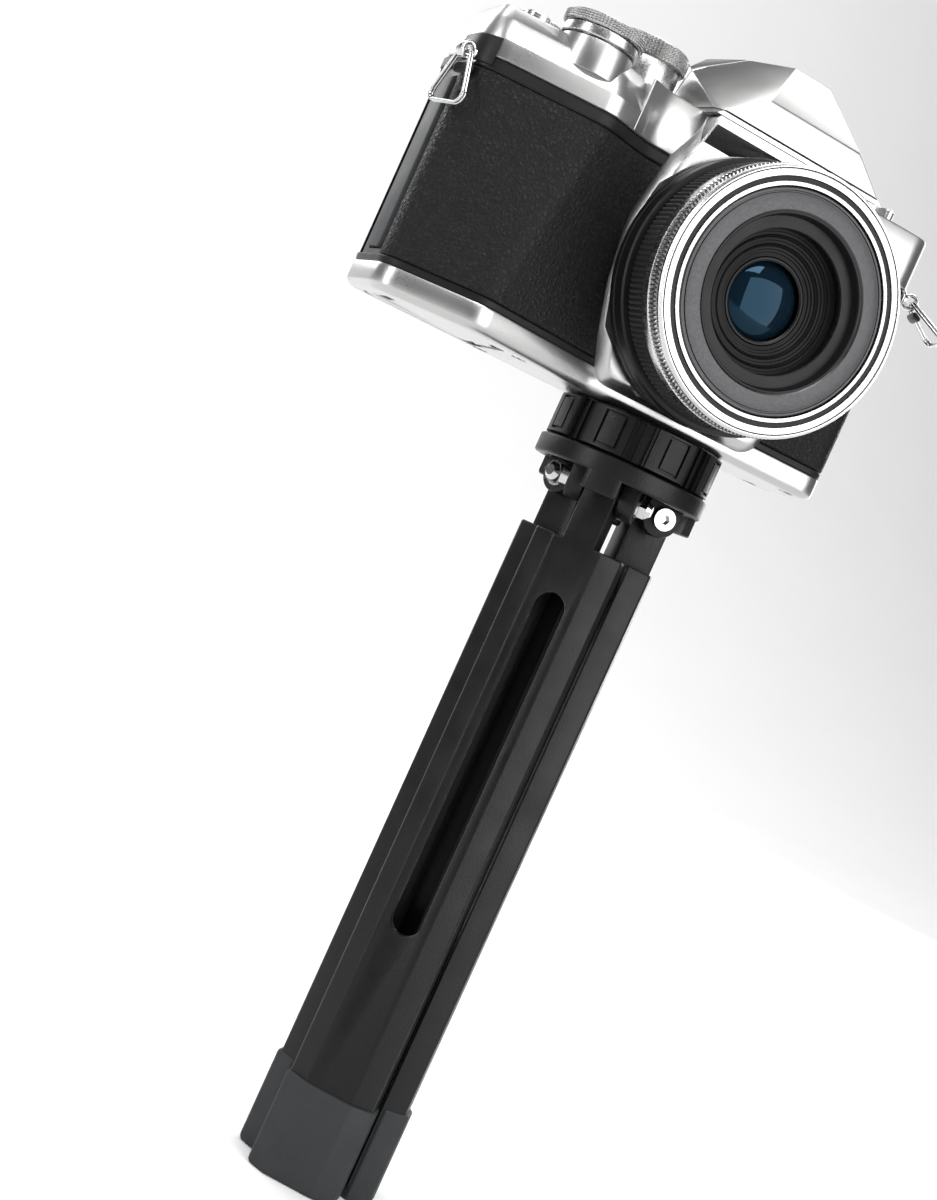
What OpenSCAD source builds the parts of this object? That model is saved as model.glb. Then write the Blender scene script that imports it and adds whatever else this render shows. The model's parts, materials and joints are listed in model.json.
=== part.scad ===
// Mirrorless camera with a pancake power-zoom lens, screwed to a folding mini
// tripod whose closed legs serve as a hand grip.
// +Z is up, the camera looks along -Y, and the origin is on the tripod's axis
// at the soles of the feet. Camera parts are drawn from the camera's base up.

/* [Tripod] */
// Height from the soles to the base of the camera
tripod_h = 184; // [170:1:210]
// Distance from the axis to the flat panel of a closed leg
panel_r = 14.8; // [14.6:0.1:15]
// Height of the rubber feet
foot_h = 22.5; // [16:0.5:30]
// Radius of the lock wheel over its pads
wheel_r = 19.5; // [18.5:0.1:20]
// Direction in which the first leg opens, seen from above
leg_turn = -5; // [-30:1:30]
// Number of raised pads around the lock wheel
wheel_pads = 16; // [12:1:20]

/* [Camera body] */
// Distance from the lens axis to the end on the grip side
grip_end = 73; // [72:0.5:75]
// Distance from the lens axis to the other end
far_end = 42.5; // [42:0.5:45]
// Depth of the flat back behind the lens plane of reference
back_y = 15; // [14.6:0.1:15.2]
// Height of the deck that carries the dials
deck_h = 64; // [63.5:0.1:64.5]
// Height of the viewfinder hump
hump_h = 83.4; // [82.5:0.1:84]
// Height of the lens axis above the base
lens_h = 31.5; // [31:0.1:32]

/* [Controls] */
// Radius of the front dial's knurled rim
front_dial_r = 9.2; // [8.6:0.1:9.3]
// Radius of the mode dial's rim
mode_dial_r = 9.4; // [8.8:0.1:9.6]
// Radius of the rear dial
rear_dial_r = 7.4; // [7:0.1:7.6]

/* [Lens] */
// Radius of the zoom ring
zoom_ring_r = 28.6; // [28:0.1:29.2]
// Distance of the front rim from the reference plane
lens_front = 36.4; // [36.2:0.1:38]
// Radius of the filter thread
filter_r = 18.5; // [18:0.1:18.8]

/* [Hidden] */
$fn = 64;
hull_fn = 32;
cut = 0.02;          // overshoot that keeps a cut from leaving a skin
gap = 0.3;           // clearance between pieces that move past each other
running = 0.05;      // radial clearance of a shaft in its bore

silver = [0.78, 0.78, 0.77];
black = [0.07, 0.07, 0.075];
leather = [0.12, 0.12, 0.12];
rubber = [0.16, 0.17, 0.18];
chrome = [0.9, 0.9, 0.92];
glass = [0.35, 0.5, 0.6];
board = [0.1, 0.35, 0.2];

// ---- Tripod sizes, heights counted down from the camera's base ----
leg_step = 120;
pivot_r = 10;                      // hinge pins lie this far from the axis
pivot_drop = 17.5;
eye_r = panel_r - pivot_r;
tongue_w = 7.6;
panel_w = 11.2;
side_r = 12.4;                     // where the bevel meets the leg's side
side_w = 20.6;
inner_r = 6.6;                     // open inner edge of the leg channel
leg_wall = 1.6;
foot_floor = 3;
foot_wall = 0.8;
rail_drop = 30;                    // top of the full leg section
slot_w = 7;
slot_top = tripod_h - 42;
slot_bottom = foot_h + 38;
crown_r = 20;
crown_top = 10.2;
crown_web = 12.3;
skirt_drop = 14.7;
skirt_in_r = 16.6;
tab_w = 8.4;
tab_drop = 18.8;
tab_in_r = 17.9;
ear_w = 4;
ear_r = 4.4;
ear_in = tongue_w / 2 + gap;
bolt_r = 1.5;
post_r = 12;
post_top = 2.2;
wheel_bottom = 10;
wheel_top = 0.3;
wheel_web = 1.3;
screw_r = 3.175;
screw_up = 5;

// ---- Camera body sizes ----
front_y = -11;
corner_r = 7;
plate_h = 5.4;
bevel_h = 1.2;
lip_low = 7;
lip_high = 49.5;
cover_z = 52.3;
crease_z = 56.5;
chamfer_z = 61;
chamfer_in = 1.8;
slope_in = 4.4;
end_lean = 0.4;                    // share by which the end leans in less than the front
cover_step_x = -37;                // the chamfered end stops here
leather_t = 0.9;
shell_t = 2.2;
rear_t = 2;
ridge_r = 5;
end_front_r = 8;
ridge_low = [-53, -20];
ridge_high = [-43.4, -16.5];
blend_low = -21;
blend_high = -31;
housing_y = -14;
throat_r = 23.8;
leather_end_y = -4.4;              // the grip's leatherette stops here on the end face
port_y = [-0.8, 7.4];
port_z = [8.4, 47.4];
port_t = 1.2;
door_x = [-68.6, -43];
door_y = [-9, 11.5];
door_t = 1.4;
door_hinge = [-41.6, 0.75];        // x and height of the battery door's pin

// ---- Rear screen: hinge axes as [y, z] ----
arm_low = [16.1, 6.6];
arm_high = [16.7, 50.7];
arm_y = [15.5, 16.5];
panel_x = [-38.5, 40];
panel_z = [5.2, 51.6];
panel_y = [16.9, 20.4];
glass_t = 0.7;
knuckle_r = 0.9;
hinge_pin_r = 0.45;
ear_x = 14.4;
ear_l = 2.8;

// ---- Controls ----
front_dial = [-49.3, -8];
mode_dial = [-33, 6];
rear_dial = [-57.6, 7.8];
record_button = [-62.8, -5];
power_lever = [30, 3];
lens_release = [33.2, 22];
pad_centre = [-55.2, 26];
button_spots = [[-63.8, 42], [-46.6, 42], [-63.8, 11], [-46.6, 11]];
small_r = 2.8;
thumb_rest_x = [-67.8, -57.4];
thumb_rest_z = [46.2, 51.4];

mount_back = 12.6;                 // the mount ring's seat in the housing

// ---- Lens sizes: h runs forward from the reference plane ----
flange_h = 14.4;
base_h = 21.4;
base_r = 29.4;
sleeve_r = 25.4;
guide_r = 23.58;
inner_barrel_r = 23.5;
bezel_h = 34.7;
bezel_r = 28;

// ---- Strap lugs: place, and the direction in which each one points ----
lug_grip = [-71.9, -6.2, 51.5];
lug_far = [43.3, -4.5, 51.4];
ring_wire = 0.65;
ring_size = 6.6;
ring_top = 2.2;
ring_sag = -0.4;
ring_drop = -11.4;
lug_reach = 2.7;
ring_lean_far = -58;

function mix(a, b, t) = a + (b - a) * t;
function rise(z) = (z - plate_h) / (51.2 - plate_h);
function ridge_x(z) = mix(ridge_low[0], ridge_high[0], rise(z));
function ridge_y(z) = mix(ridge_low[1], ridge_high[1], rise(z));
function blend_x(z) = mix(blend_low, blend_high, rise(z));

module in_camera() {
    translate([0, 0, tripod_h]) children();
}

// Local Z runs forward along the lens axis
module on_lens_axis() {
    in_camera() translate([0, 0, lens_h]) rotate([90, 0, 0]) children();
}

// Local X points outward over leg number i
module at_leg(i) {
    rotate([0, 0, leg_turn + leg_step * i]) children();
}

module tube(r_out, r_in, z0, z1) {
    translate([0, 0, z0]) difference() {
        cylinder(r = r_out, h = z1 - z0);
        translate([0, 0, -cut]) cylinder(r = r_in, h = z1 - z0 + 2 * cut);
    }
}

module span(x, y, z) {
    translate([x[0], y[0], z[0]]) cube([x[1] - x[0], y[1] - y[0], z[1] - z[0]]);
}

module rounded_rect(x, y, r) {
    translate([x[0] + r, y[0]]) square([x[1] - x[0] - 2 * r, y[1] - y[0]]);
    translate([x[0], y[0] + r]) square([x[1] - x[0], y[1] - y[0] - 2 * r]);
    for (cx = [x[0] + r, x[1] - r], cy = [y[0] + r, y[1] - r])
        translate([cx, cy]) circle(r = r);
}

module rounded_slab(x, y, z, r) {
    translate([0, 0, z[0]]) linear_extrude(z[1] - z[0]) rounded_rect(x, y, r);
}

// A rounded plate that stands up and faces along Y
module rounded_wall(x, z, y, r) {
    translate([0, y[1], 0]) rotate([90, 0, 0])
        linear_extrude(y[1] - y[0]) rounded_rect(x, z, r);
}

// ---------------------------------------------------------------- tripod
function leg_outline(g) = [
    [panel_r + g, -panel_w / 2 - g / 2],
    [panel_r + g, panel_w / 2 + g / 2],
    [side_r + g, side_w / 2 + g],
    [inner_r, side_w / 2 + g],
    [inner_r, -side_w / 2 - g],
    [side_r + g, -side_w / 2 - g],
];

module leg_channel(z0, z1) {
    translate([0, 0, z0]) linear_extrude(z1 - z0) difference() {
        polygon(leg_outline(0));
        intersection() {
            polygon(leg_outline(-leg_wall));
            translate([inner_r - 1, -side_w]) square([side_r + 2, 2 * side_w]);
        }
        translate([inner_r - 1, -side_w / 2 + leg_wall]) square([2, side_w - 2 * leg_wall]);
    }
}

module leg_slot() {
    translate([side_r - 1, 0, 0]) rotate([0, 90, 0]) {
        for (z = [slot_bottom + slot_w / 2, slot_top - slot_w / 2])
            translate([-z, 0, 0]) cylinder(r = slot_w / 2, h = 6);
        translate([-slot_top + slot_w / 2, -slot_w / 2, 0])
            cube([slot_top - slot_bottom - slot_w, slot_w, 6]);
    }
}

module leg(i) {
    pivot_z = tripod_h - pivot_drop;
    color(black) at_leg(i) difference() {
        union() {
            leg_channel(foot_floor, tripod_h - rail_drop);
            span([pivot_r - eye_r, panel_r], [-tongue_w / 2, tongue_w / 2],
                [tripod_h - rail_drop - 6, pivot_z]);
            translate([pivot_r, tongue_w / 2, pivot_z]) rotate([90, 0, 0])
                cylinder(r = eye_r, h = tongue_w);
        }
        leg_slot();
        translate([pivot_r, tongue_w, pivot_z]) rotate([90, 0, 0])
            cylinder(r = bolt_r + running, h = 2 * tongue_w);
    }
}

module leg_a() { leg(0); }
module leg_b() { leg(1); }
module leg_c() { leg(2); }

module foot(i) {
    outline = [
        [panel_r + foot_wall, -panel_w / 2 - 0.4],
        [panel_r + foot_wall, panel_w / 2 + 0.4],
        [side_r + foot_wall, side_w / 2 + 0.5],
        [7.4, side_w / 2 + 0.5],
        [1, 0.6],
        [1, -0.6],
        [7.4, -side_w / 2 - 0.5],
        [side_r + foot_wall, -side_w / 2 - 0.5],
    ];
    color(rubber) at_leg(i) difference() {
        linear_extrude(foot_h) polygon(outline);
        translate([0, 0, foot_floor]) linear_extrude(foot_h) polygon(leg_outline(0));
        translate([0, 0, foot_floor]) linear_extrude(foot_h)
            translate([0, -side_w / 2]) square([inner_r + 1, side_w]);
    }
}

module foot_a() { foot(0); }
module foot_b() { foot(1); }
module foot_c() { foot(2); }

// One bolt across each hinge: socket head at one end, domed nut at the other
module hinge_bolt() {
    head_at = ear_in + ear_w;
    head_l = 2;
    socket_r = 1.2;
    rotate([-90, 0, 0]) {
        translate([0, 0, -head_at]) cylinder(r = bolt_r, h = 2 * head_at);
        translate([0, 0, -head_at - head_l]) difference() {
            cylinder(r = 2.5, h = head_l);
            translate([0, 0, -cut]) cylinder(r = socket_r, h = 1.3, $fn = 6);
        }
        translate([0, 0, head_at]) {
            cylinder(r = 3, h = 0.5);
            translate([0, 0, 0.5]) cylinder(r = 2.6, h = 1.6, $fn = 6);
            translate([0, 0, 2.1]) cylinder(r1 = 2.1, r2 = 1.2, h = 1);
        }
    }
}

module hinge_bolts() {
    color(chrome)
        for (i = [0:2])
            at_leg(i) translate([pivot_r, 0, tripod_h - pivot_drop]) hinge_bolt();
}

module crown_ears() {
    for (i = [0:2], side = [-1, 1])
        at_leg(i) translate([pivot_r, side * (ear_in + ear_w / 2), -pivot_drop]) {
            rotate([90, 0, 0]) cylinder(r = ear_r, h = ear_w, center = true);
            translate([-ear_r, -ear_w / 2, 0])
                cube([2 * ear_r, ear_w, pivot_drop - crown_web + cut]);
        }
}

module crown_tabs() {
    intersection() {
        tube(crown_r, tab_in_r, -tab_drop, -skirt_drop + cut);
        for (i = [0:2])
            at_leg(i) span([0, crown_r + 1], [-tab_w / 2, tab_w / 2],
                [-tab_drop - 1, -skirt_drop + 1]);
    }
}

module crown() {
    hub_r = 4.4;
    hub_drop = 23;
    color(black) in_camera() difference() {
        union() {
            translate([0, 0, -crown_web]) cylinder(r = crown_r, h = crown_web - crown_top);
            tube(crown_r, skirt_in_r, -skirt_drop, -crown_web + cut);
            crown_tabs();
            crown_ears();
            translate([0, 0, -hub_drop]) cylinder(r = hub_r, h = hub_drop - crown_web + cut);
            translate([0, 0, -crown_top - cut]) cylinder(r = post_r, h = crown_top - post_top + cut);
        }
        for (i = [0:2])
            at_leg(i) translate([pivot_r, crown_r, -pivot_drop]) rotate([90, 0, 0])
                cylinder(r = bolt_r, h = 2 * crown_r);
        translate([0, 0, -hub_drop + 4]) cylinder(r = screw_r, h = hub_drop);
    }
}

module camera_screw() {
    flange_r = 5.6;
    color(chrome) in_camera() {
        translate([0, 0, -19]) cylinder(r = screw_r, h = 19 + screw_up);
        translate([0, 0, -post_top]) cylinder(r = flange_r, h = post_top - running);
    }
}

module lock_wheel() {
    rib_out = 0.6;
    pad_w = 2 * wheel_r * sin(180 / wheel_pads) - 2;
    color(black) in_camera() difference() {
        union() {
            translate([0, 0, -wheel_bottom])
                cylinder(r = wheel_r - rib_out, h = wheel_bottom - wheel_top);
            intersection() {
                translate([0, 0, -wheel_bottom]) cylinder(r = wheel_r, h = wheel_bottom);
                for (i = [1:wheel_pads])
                    rotate([0, 0, i * 360 / wheel_pads])
                        span([wheel_r - 2, wheel_r + 1], [-pad_w / 2, pad_w / 2], [-8.6, -1.6]);
            }
        }
        translate([0, 0, -wheel_bottom - cut])
            cylinder(r = post_r + running, h = wheel_bottom - wheel_top - wheel_web);
        translate([0, 0, -wheel_bottom]) cylinder(r = 6, h = 2 * wheel_bottom);
    }
}

// ----------------------------------------------------------- camera body
// Thin level slice of the grip's bulge, the seed of a hull
module grip_slice(z, inset) {
    thin = 0.01;
    translate([0, 0, z]) {
        translate([ridge_x(z), ridge_y(z) + ridge_r])
            cylinder(r = ridge_r - inset, h = thin, $fn = hull_fn);
        translate([-grip_end + end_front_r + 0.2, front_y + corner_r])
            cylinder(r = end_front_r - inset, h = thin, $fn = hull_fn);
        translate([blend_x(z), front_y + 0.5 + inset]) cylinder(r = 0.5, h = thin, $fn = hull_fn);
        translate([blend_x(z), 2]) cylinder(r = 0.5, h = thin, $fn = hull_fn);
        translate([-grip_end + end_front_r + 0.2, 2])
            cylinder(r = end_front_r - inset, h = thin, $fn = hull_fn);
    }
}

module grip_bulge(z0, z1, inset0, inset1) {
    hull() {
        grip_slice(z0, inset0);
        grip_slice(z1 - 0.01, inset1);
    }
}

module slab(z0, z1, inset) {
    rounded_slab([-grip_end + inset, far_end - inset], [front_y + inset, back_y - inset],
        [z0, z1], corner_r - inset);
}

module body_band(z0, z1, inset) {
    slab(z0, z1, inset);
    grip_bulge(z0, z1, inset, inset);
}

// Front housing around the lens mount, widest at the lens axis
housing_outline = [
    [21.8, 4.2], [24.3, 11.8], [27.6, 22.6], [29.2, 35.6], [26.1, 51.3], [21.6, 59.9], [21.6, 63.5],
];

module housing_shape() {
    steps = len(housing_outline);
    mirrored = [for (i = [0:steps - 1]) let (p = housing_outline[steps - 1 - i]) [-p[0], p[1]]];
    polygon(concat([[16.5, 2.7], [20.3, 3.1]], housing_outline,
        mirrored, [[-20.3, 3.1], [-16.5, 2.7]]));
}

module housing_block(y0, y1) {
    translate([0, y1, 0]) rotate([90, 0, 0]) linear_extrude(y1 - y0) housing_shape();
}

module mount_housing() {
    flare_y = -16.8;
    color(silver) in_camera() difference() {
        union() {
            housing_block(housing_y, front_y);
            span([-21.4, 21.4], [flare_y, front_y], [60.6, 63.5]);
        }
        translate([0, 0, lens_h]) rotate([90, 0, 0]) cylinder(r = throat_r, h = 40);
        translate([0, 0, lens_h]) rotate([90, 0, 0]) translate([0, 0, mount_back])
            cylinder(r = base_r + gap, h = 20);
    }
}

module body_shell() {
    inner_corner = 4.6;
    color(black) in_camera() difference() {
        intersection() {
            union() {
                body_band(plate_h, cover_z, leather_t);
                body_band(plate_h, lip_low, 0);
                body_band(lip_high, cover_z, 0);
            }
            span([-200, 200], [-200, back_y - rear_t], [0, 100]);
        }
        rounded_slab([-grip_end + shell_t + leather_t, far_end - shell_t - leather_t],
            [front_y + shell_t + leather_t, back_y + 10], [plate_h - 1, cover_z + 1], inner_corner);
        grip_bulge(plate_h, cover_z, shell_t + leather_t, shell_t + leather_t);
        housing_block(housing_y - 10, front_y);
        translate([0, 0, lens_h]) rotate([90, 0, 0]) cylinder(r = throat_r, h = 30);
        span([-grip_end - 1, -grip_end + port_t + leather_t], port_y, port_z);
        release_bore();
        lug_bores();
    }
}

// Bore round the lens release button
module release_bore() {
    translate([lens_release[0], 0, lens_release[1]]) rotate([90, 0, 0]) cylinder(r = 4.1, h = 30);
}

// The lens's way through the front of the body
module throat() {
    translate([0, 0, lens_h]) rotate([90, 0, 0]) cylinder(r = throat_r, h = 40);
}

module leather_band() {
    difference() {
        body_band(lip_low, lip_high, 0);
        body_band(plate_h, cover_z, leather_t);
        housing_block(housing_y - 10, front_y);
        throat();
    }
}

module grip_leather() {
    color(leather) in_camera() intersection() {
        leather_band();
        span([-200, 0], [-200, leather_end_y], [0, 100]);
    }
}

module side_leather() {
    color(leather) in_camera() difference() {
        intersection() {
            difference() {
                slab(lip_low, lip_high, 0);
                slab(lip_low - 1, lip_high + 1, leather_t);
                housing_block(housing_y - 10, front_y);
                throat();
            }
            span([20, 200], [-200, 6], [0, 100]);
        }
        release_bore();
    }
}

module rear_cover() {
    rear_y = back_y - rear_t;
    color(black) in_camera() difference() {
        union() {
            intersection() {
                slab(plate_h, cover_z, 0);
                span([-200, 200], [rear_y, back_y + 1], [0, 100]);
            }
            rounded_wall(thumb_rest_x, thumb_rest_z, [back_y - cut, back_y + 2.2], 2.4);
            for (sx = [-1, 1]) arm_ear(sx);
        }
        rear_bore(pad_centre, 10.2);
        for (p = button_spots) rear_bore(p, small_r + gap);
        hinge_barrel(arm_low, hinge_pin_r + running, -20, 20);
    }
}

// One of the two ears that carry the screen arm's lower pin
module arm_ear(side) {
    translate([side * ear_x - ear_l / 2, 0, 0]) {
        hinge_barrel(arm_low, knuckle_r, 0, ear_l);
        translate([0, back_y - cut, arm_low[1] - knuckle_r])
            cube([ear_l, arm_low[0] - back_y, 2 * knuckle_r]);
    }
}

module rear_bore(p, r) {
    translate([p[0], back_y + 1, p[1]]) rotate([90, 0, 0]) cylinder(r = r, h = rear_t + 2);
}

module bottom_plate() {
    floor_t = 1.5;
    color(silver) in_camera() difference() {
        union() {
            hull() {
                slab_slice(0, bevel_h);
                slab_slice(bevel_h, 0);
            }
            grip_bulge(0, bevel_h, bevel_h, 0);
            body_band(bevel_h - cut, plate_h, 0);
        }
        rounded_slab([-grip_end + 3, far_end - 3], [front_y + 2.5, back_y - 2.5],
            [floor_t, plate_h + 1], 4);
        grip_bulge(floor_t, plate_h + 1, 3, 3);
        housing_block(housing_y - 10, front_y);
        battery_door_shape(gap, -1, floor_t + 1);
        translate([0, 0, -1]) cylinder(r = 6, h = 10);
        door_knuckle_room();
    }
}

module slab_slice(z, inset) {
    for (x = [-grip_end + corner_r, far_end - corner_r], y = [front_y + corner_r, back_y - corner_r])
        translate([x, y, z]) cylinder(r = corner_r - inset, h = 0.01, $fn = hull_fn);
}

module tripod_bush() {
    color(chrome) in_camera() difference() {
        union() {
            cylinder(r = 6, h = 1.5);
            translate([0, 0, 1.5]) cylinder(r = 7.5, h = 5.5);
        }
        translate([0, 0, -1]) cylinder(r = screw_r + running, h = 1 + screw_up + 0.6);
    }
}

// ------------------------------------------------------------- top cover
// One level slice of the cover's grip end, the seed of a hull
module top_slice(z, inset) {
    thin = 0.01;
    translate([0, 0, z]) {
        translate([ridge_high[0], ridge_high[1] + ridge_r])
            cylinder(r = ridge_r - inset, h = thin, $fn = hull_fn);
        translate([-grip_end + end_front_r - end_lean * inset, front_y + corner_r])
            cylinder(r = end_front_r - inset, h = thin, $fn = hull_fn);
        translate([-grip_end + corner_r - end_lean * inset, back_y - corner_r])
            cylinder(r = corner_r - inset, h = thin, $fn = hull_fn);
        translate([cover_step_x, back_y - 0.5 - inset]) cylinder(r = 0.5, h = thin, $fn = hull_fn);
        translate([cover_step_x, front_y - 1.9 + inset]) cylinder(r = 0.5, h = thin, $fn = hull_fn);
    }
}

hump_points = [
    [22.4, -16.8, 63.6], [15.8, -17, 66.5], [12.3, -17, 71.3], [4.8, -6, hump_h], [10.7, 7.5, hump_h],
    [13.2, 22, hump_h], [15.2, 15.1, 80], [21.9, 8.5, 76], [19, 22, 76], [24.5, 4, 64], [22, 22, 64],
];

module hump() {
    hull() {
        for (p = hump_points, sx = [-1, 1])
            translate([sx * p[0] - 0.05, p[1] - 0.05, p[2] - 0.1]) cube(0.1);
    }
}

flash_cut_z = 64.8;
flash_cut_y = 6.2;
flash_hole_x = [-10, 10];
flash_hole_y = [-12, -4];

module flash_room(extra) {
    span([-40, 40], [-40, flash_cut_y + extra], [flash_cut_z - extra, 100]);
}

module deck_block() {
    hull() {
        top_slice(cover_z, 0);
        top_slice(crease_z, 0);
        top_slice(chamfer_z, chamfer_in);
        top_slice(deck_h - 0.05, slope_in);
    }
    intersection() {
        slab(cover_z, deck_h, 0);
        span([cover_step_x - 0.4, 200], [-200, 200], [0, 100]);
    }
}

module top_cover() {
    tube_r = 6.9;
    roof_back = 4;                 // the back wall is thick under the sloping edge
    color(silver) in_camera() difference() {
        union() {
            deck_block();
            difference() {
                hump();
                flash_room(gap);
            }
            translate([front_dial[0], front_dial[1], 58]) cylinder(r = 8, h = 6.6);
            translate([front_dial[0], front_dial[1], 58]) cylinder(r = tube_r, h = 11);
        }
        rounded_slab([-grip_end + 4, far_end - 2.5], [front_y + 3, back_y - roof_back],
            [cover_z - 1, deck_h - shell_t], 4);
        evf_tunnel();
        span([-10.7, 10.7], [7.6, 30], [79.6, 90]);
        translate([front_dial[0], front_dial[1], 60]) cylinder(r = 6, h = 30);
        translate([front_dial[0], front_dial[1], 50]) cylinder(r = 2 + running, h = 30);
        deck_bore(mode_dial, 3 + running);
        deck_bore(rear_dial, 3 + running);
        deck_bore(power_lever, 2.5 + running);
        deck_bore(record_button, 3.3);
        lug_bores();
    }
}

module deck_bore(p, r) {
    translate([p[0], p[1], 50]) cylinder(r = r, h = 30);
}

module evf_tunnel() {
    span([-10.5, 10.5], [13, 30], [65.5, 76.5]);
}

// ------------------------------------------------- viewfinder and flash
module evf_window() {
    color(glass) in_camera() rounded_wall([-10.5, 10.5], [65.5, 76.5], [20.2, 21.2], 0.01);
}

module eyecup() {
    color(rubber) in_camera() difference() {
        union() {
            rounded_wall([-15.5, 15.5], [64.6, 78.6], [22.05, 24], 3);
            rounded_wall([-17.5, 17.5], [63.4, 80], [24 - cut, 28.2], 4);
        }
        rounded_wall([-10.5, 10.5], [65.5, 76.5], [20, 30], 2);
    }
}

module hot_shoe() {
    base_z = 79.6;
    slot_z = 80.4;
    lip_z = 82.5;
    color(chrome) in_camera() difference() {
        span([-10.7, 10.7], [7.6, 21.9], [base_z, hump_h]);
        span([-9.35, 9.35], [9, 30], [slot_z, lip_z]);
        span([-6.6, 6.6], [9, 30], [slot_z, hump_h + 1]);
    }
}

// Front half of the hump, which lifts about its upper rear edge
module flash_unit() {
    color(silver) in_camera() difference() {
        intersection() {
            hump();
            span([-40, 40], [-40, flash_cut_y], [flash_cut_z, 100]);
        }
        span(flash_hole_x, flash_hole_y, [flash_cut_z - 1, 76]);
    }
}

module flash_window() {
    color(glass) in_camera() span(flash_hole_x, flash_hole_y, [flash_cut_z + 0.2, flash_cut_z + 1.7]);
}

// --------------------------------------------------------------- controls
module dial(p, rim_r, drum_r, z0, z1, z2, stem_r) {
    translate([p[0], p[1], 0]) {
        translate([0, 0, z0]) cylinder(r = drum_r, h = z1 - z0);
        translate([0, 0, z1]) cylinder(r = rim_r, h = z2 - z1);
        translate([0, 0, z0 - 6]) cylinder(r = stem_r, h = 6 + cut);
    }
}

module mode_dial() {
    color(silver) in_camera()
        dial(mode_dial, mode_dial_r, mode_dial_r - 1.1, deck_h + gap, 71, 75.2, 3);
}

module rear_dial() {
    color(silver) in_camera()
        dial(rear_dial, rear_dial_r, rear_dial_r - 0.8, deck_h + gap, 64.9, 67.2, 3);
}

module front_dial() {
    color(silver) in_camera() translate([front_dial[0], front_dial[1], 0]) {
        tube(front_dial_r - 0.9, 6.9 + running, 64.9, 67.2);
        tube(front_dial_r, 6.9 + running, 67.2, 69.7);
    }
}

module shutter_button() {
    stem_r = 2;
    color(chrome) in_camera() translate([front_dial[0], front_dial[1], 0]) {
        translate([0, 0, 55]) cylinder(r = stem_r, h = 12);
        translate([0, 0, 66.4]) cylinder(r = 5.7, h = 3.4);
        translate([0, 0, 69.8 - cut]) cylinder(r1 = 5.7, r2 = 4.9, h = 0.8);
    }
}

module record_button() {
    color(silver) in_camera() deck_button(record_button, 3, 61.2, deck_h + 1.4);
}

module deck_button(p, r, z0, z1) {
    translate([p[0], p[1], z0]) cylinder(r = r, h = z1 - z0);
}

// The lever's finger points forward when the camera is off
module power_lever() {
    finger = 7.2;
    color(silver) in_camera() translate([power_lever[0], power_lever[1], 0]) {
        translate([0, 0, 58]) cylinder(r = 2.5, h = 7);
        translate([0, 0, deck_h + gap]) cylinder(r = 5, h = 2.6);
        rotate([0, 0, 17]) translate([-1.5, -finger - 1.4, deck_h + gap]) cube([3, finger, 3.4]);
    }
}

module lens_release_button() {
    color(silver) in_camera() translate([lens_release[0], front_y + 3, lens_release[1]])
        rotate([90, 0, 0]) cylinder(r = 3.8, h = 4.8);
}

module back_button(p, r, y1) {
    translate([p[0], y1, p[1]]) rotate([90, 0, 0]) cylinder(r = r, h = y1 - back_y + rear_t);
}

module menu_button() { color(black) in_camera() back_button(button_spots[0], small_r, back_y + 0.8); }
module info_button() { color(black) in_camera() back_button(button_spots[1], small_r, back_y + 0.8); }
module play_button() { color(black) in_camera() back_button(button_spots[2], small_r, back_y + 0.8); }
module delete_button() { color(black) in_camera() back_button(button_spots[3], small_r, back_y + 0.8); }
module ok_button() { color(black) in_camera() back_button(pad_centre, 4, back_y + 1.1); }

module arrow_pad() {
    color(black) in_camera() translate([pad_centre[0], 0, pad_centre[1]]) rotate([-90, 0, 0])
        tube(9.9, 4.3, back_y - rear_t, back_y + 1.2);
}

// ----------------------------------------------------------- rear screen
module hinge_barrel(at, r, x0, x1) {
    translate([x0, at[0], at[1]]) rotate([0, 90, 0]) cylinder(r = r, h = x1 - x0);
}

module screen_arm() {
    inner = ear_x - ear_l / 2 - 0.15;
    outer = ear_x + ear_l / 2;
    color(black) in_camera() union() {
        span([-inner, inner], arm_y, [arm_low[1], arm_high[1] - 0.5]);
        for (at = [arm_low, arm_high]) {
            hinge_barrel(at, 0.7, -inner, inner);
            hinge_barrel(at, hinge_pin_r, -outer, outer);
        }
    }
}

module screen_panel() {
    inner = ear_x - ear_l / 2;
    outer = ear_x + ear_l / 2;
    color(black) in_camera() difference() {
        union() {
            rounded_wall(panel_x, panel_z, panel_y, 3);
            for (sx = [-1, 1])
                hinge_barrel(arm_high, knuckle_r, sx * ear_x - ear_l / 2, sx * ear_x + ear_l / 2);
        }
        glass_shape(panel_y[1] + 1);
        hinge_barrel(arm_high, hinge_pin_r + running, -outer - 1, outer + 1);
        hinge_barrel(arm_high, 1.1, -inner, inner);
        hinge_barrel(arm_low, 1.3, -outer - 1, outer + 1);
    }
}

module screen_glass() {
    color(glass) in_camera() glass_shape(panel_y[1]);
}

// The cover glass inside the screen's frame, out to the level given
module glass_shape(level) {
    frame = 3.2;
    rounded_wall([panel_x[0] + frame, panel_x[1] - frame],
        [panel_z[0] + frame, panel_z[1] - frame], [panel_y[1] - glass_t, level], 1);
}

// ----------------------------------------------------------------- doors
module battery_door_shape(grow, z0, z1) {
    rounded_slab([door_x[0] - grow, door_x[1] + grow], [door_y[0] - grow, door_y[1] + grow],
        [z0, z1], 3);
}

// Room in the base plate for the door's knuckles to turn
module door_knuckle_room() {
    span([door_x[1] - 1, door_hinge[0] + 1.2], [-4, 8], [-1, 2.2]);
}

module battery_door() {
    color(silver) in_camera() union() {
        battery_door_shape(0, 0.05, door_t);
        span([door_x[1] - 2, door_hinge[0]], [-3, 7], [door_hinge[1] - 0.6, door_hinge[1] + 0.6]);
        translate([door_hinge[0], 7, door_hinge[1]]) rotate([90, 0, 0]) cylinder(r = 0.6, h = 10);
    }
}

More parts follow.
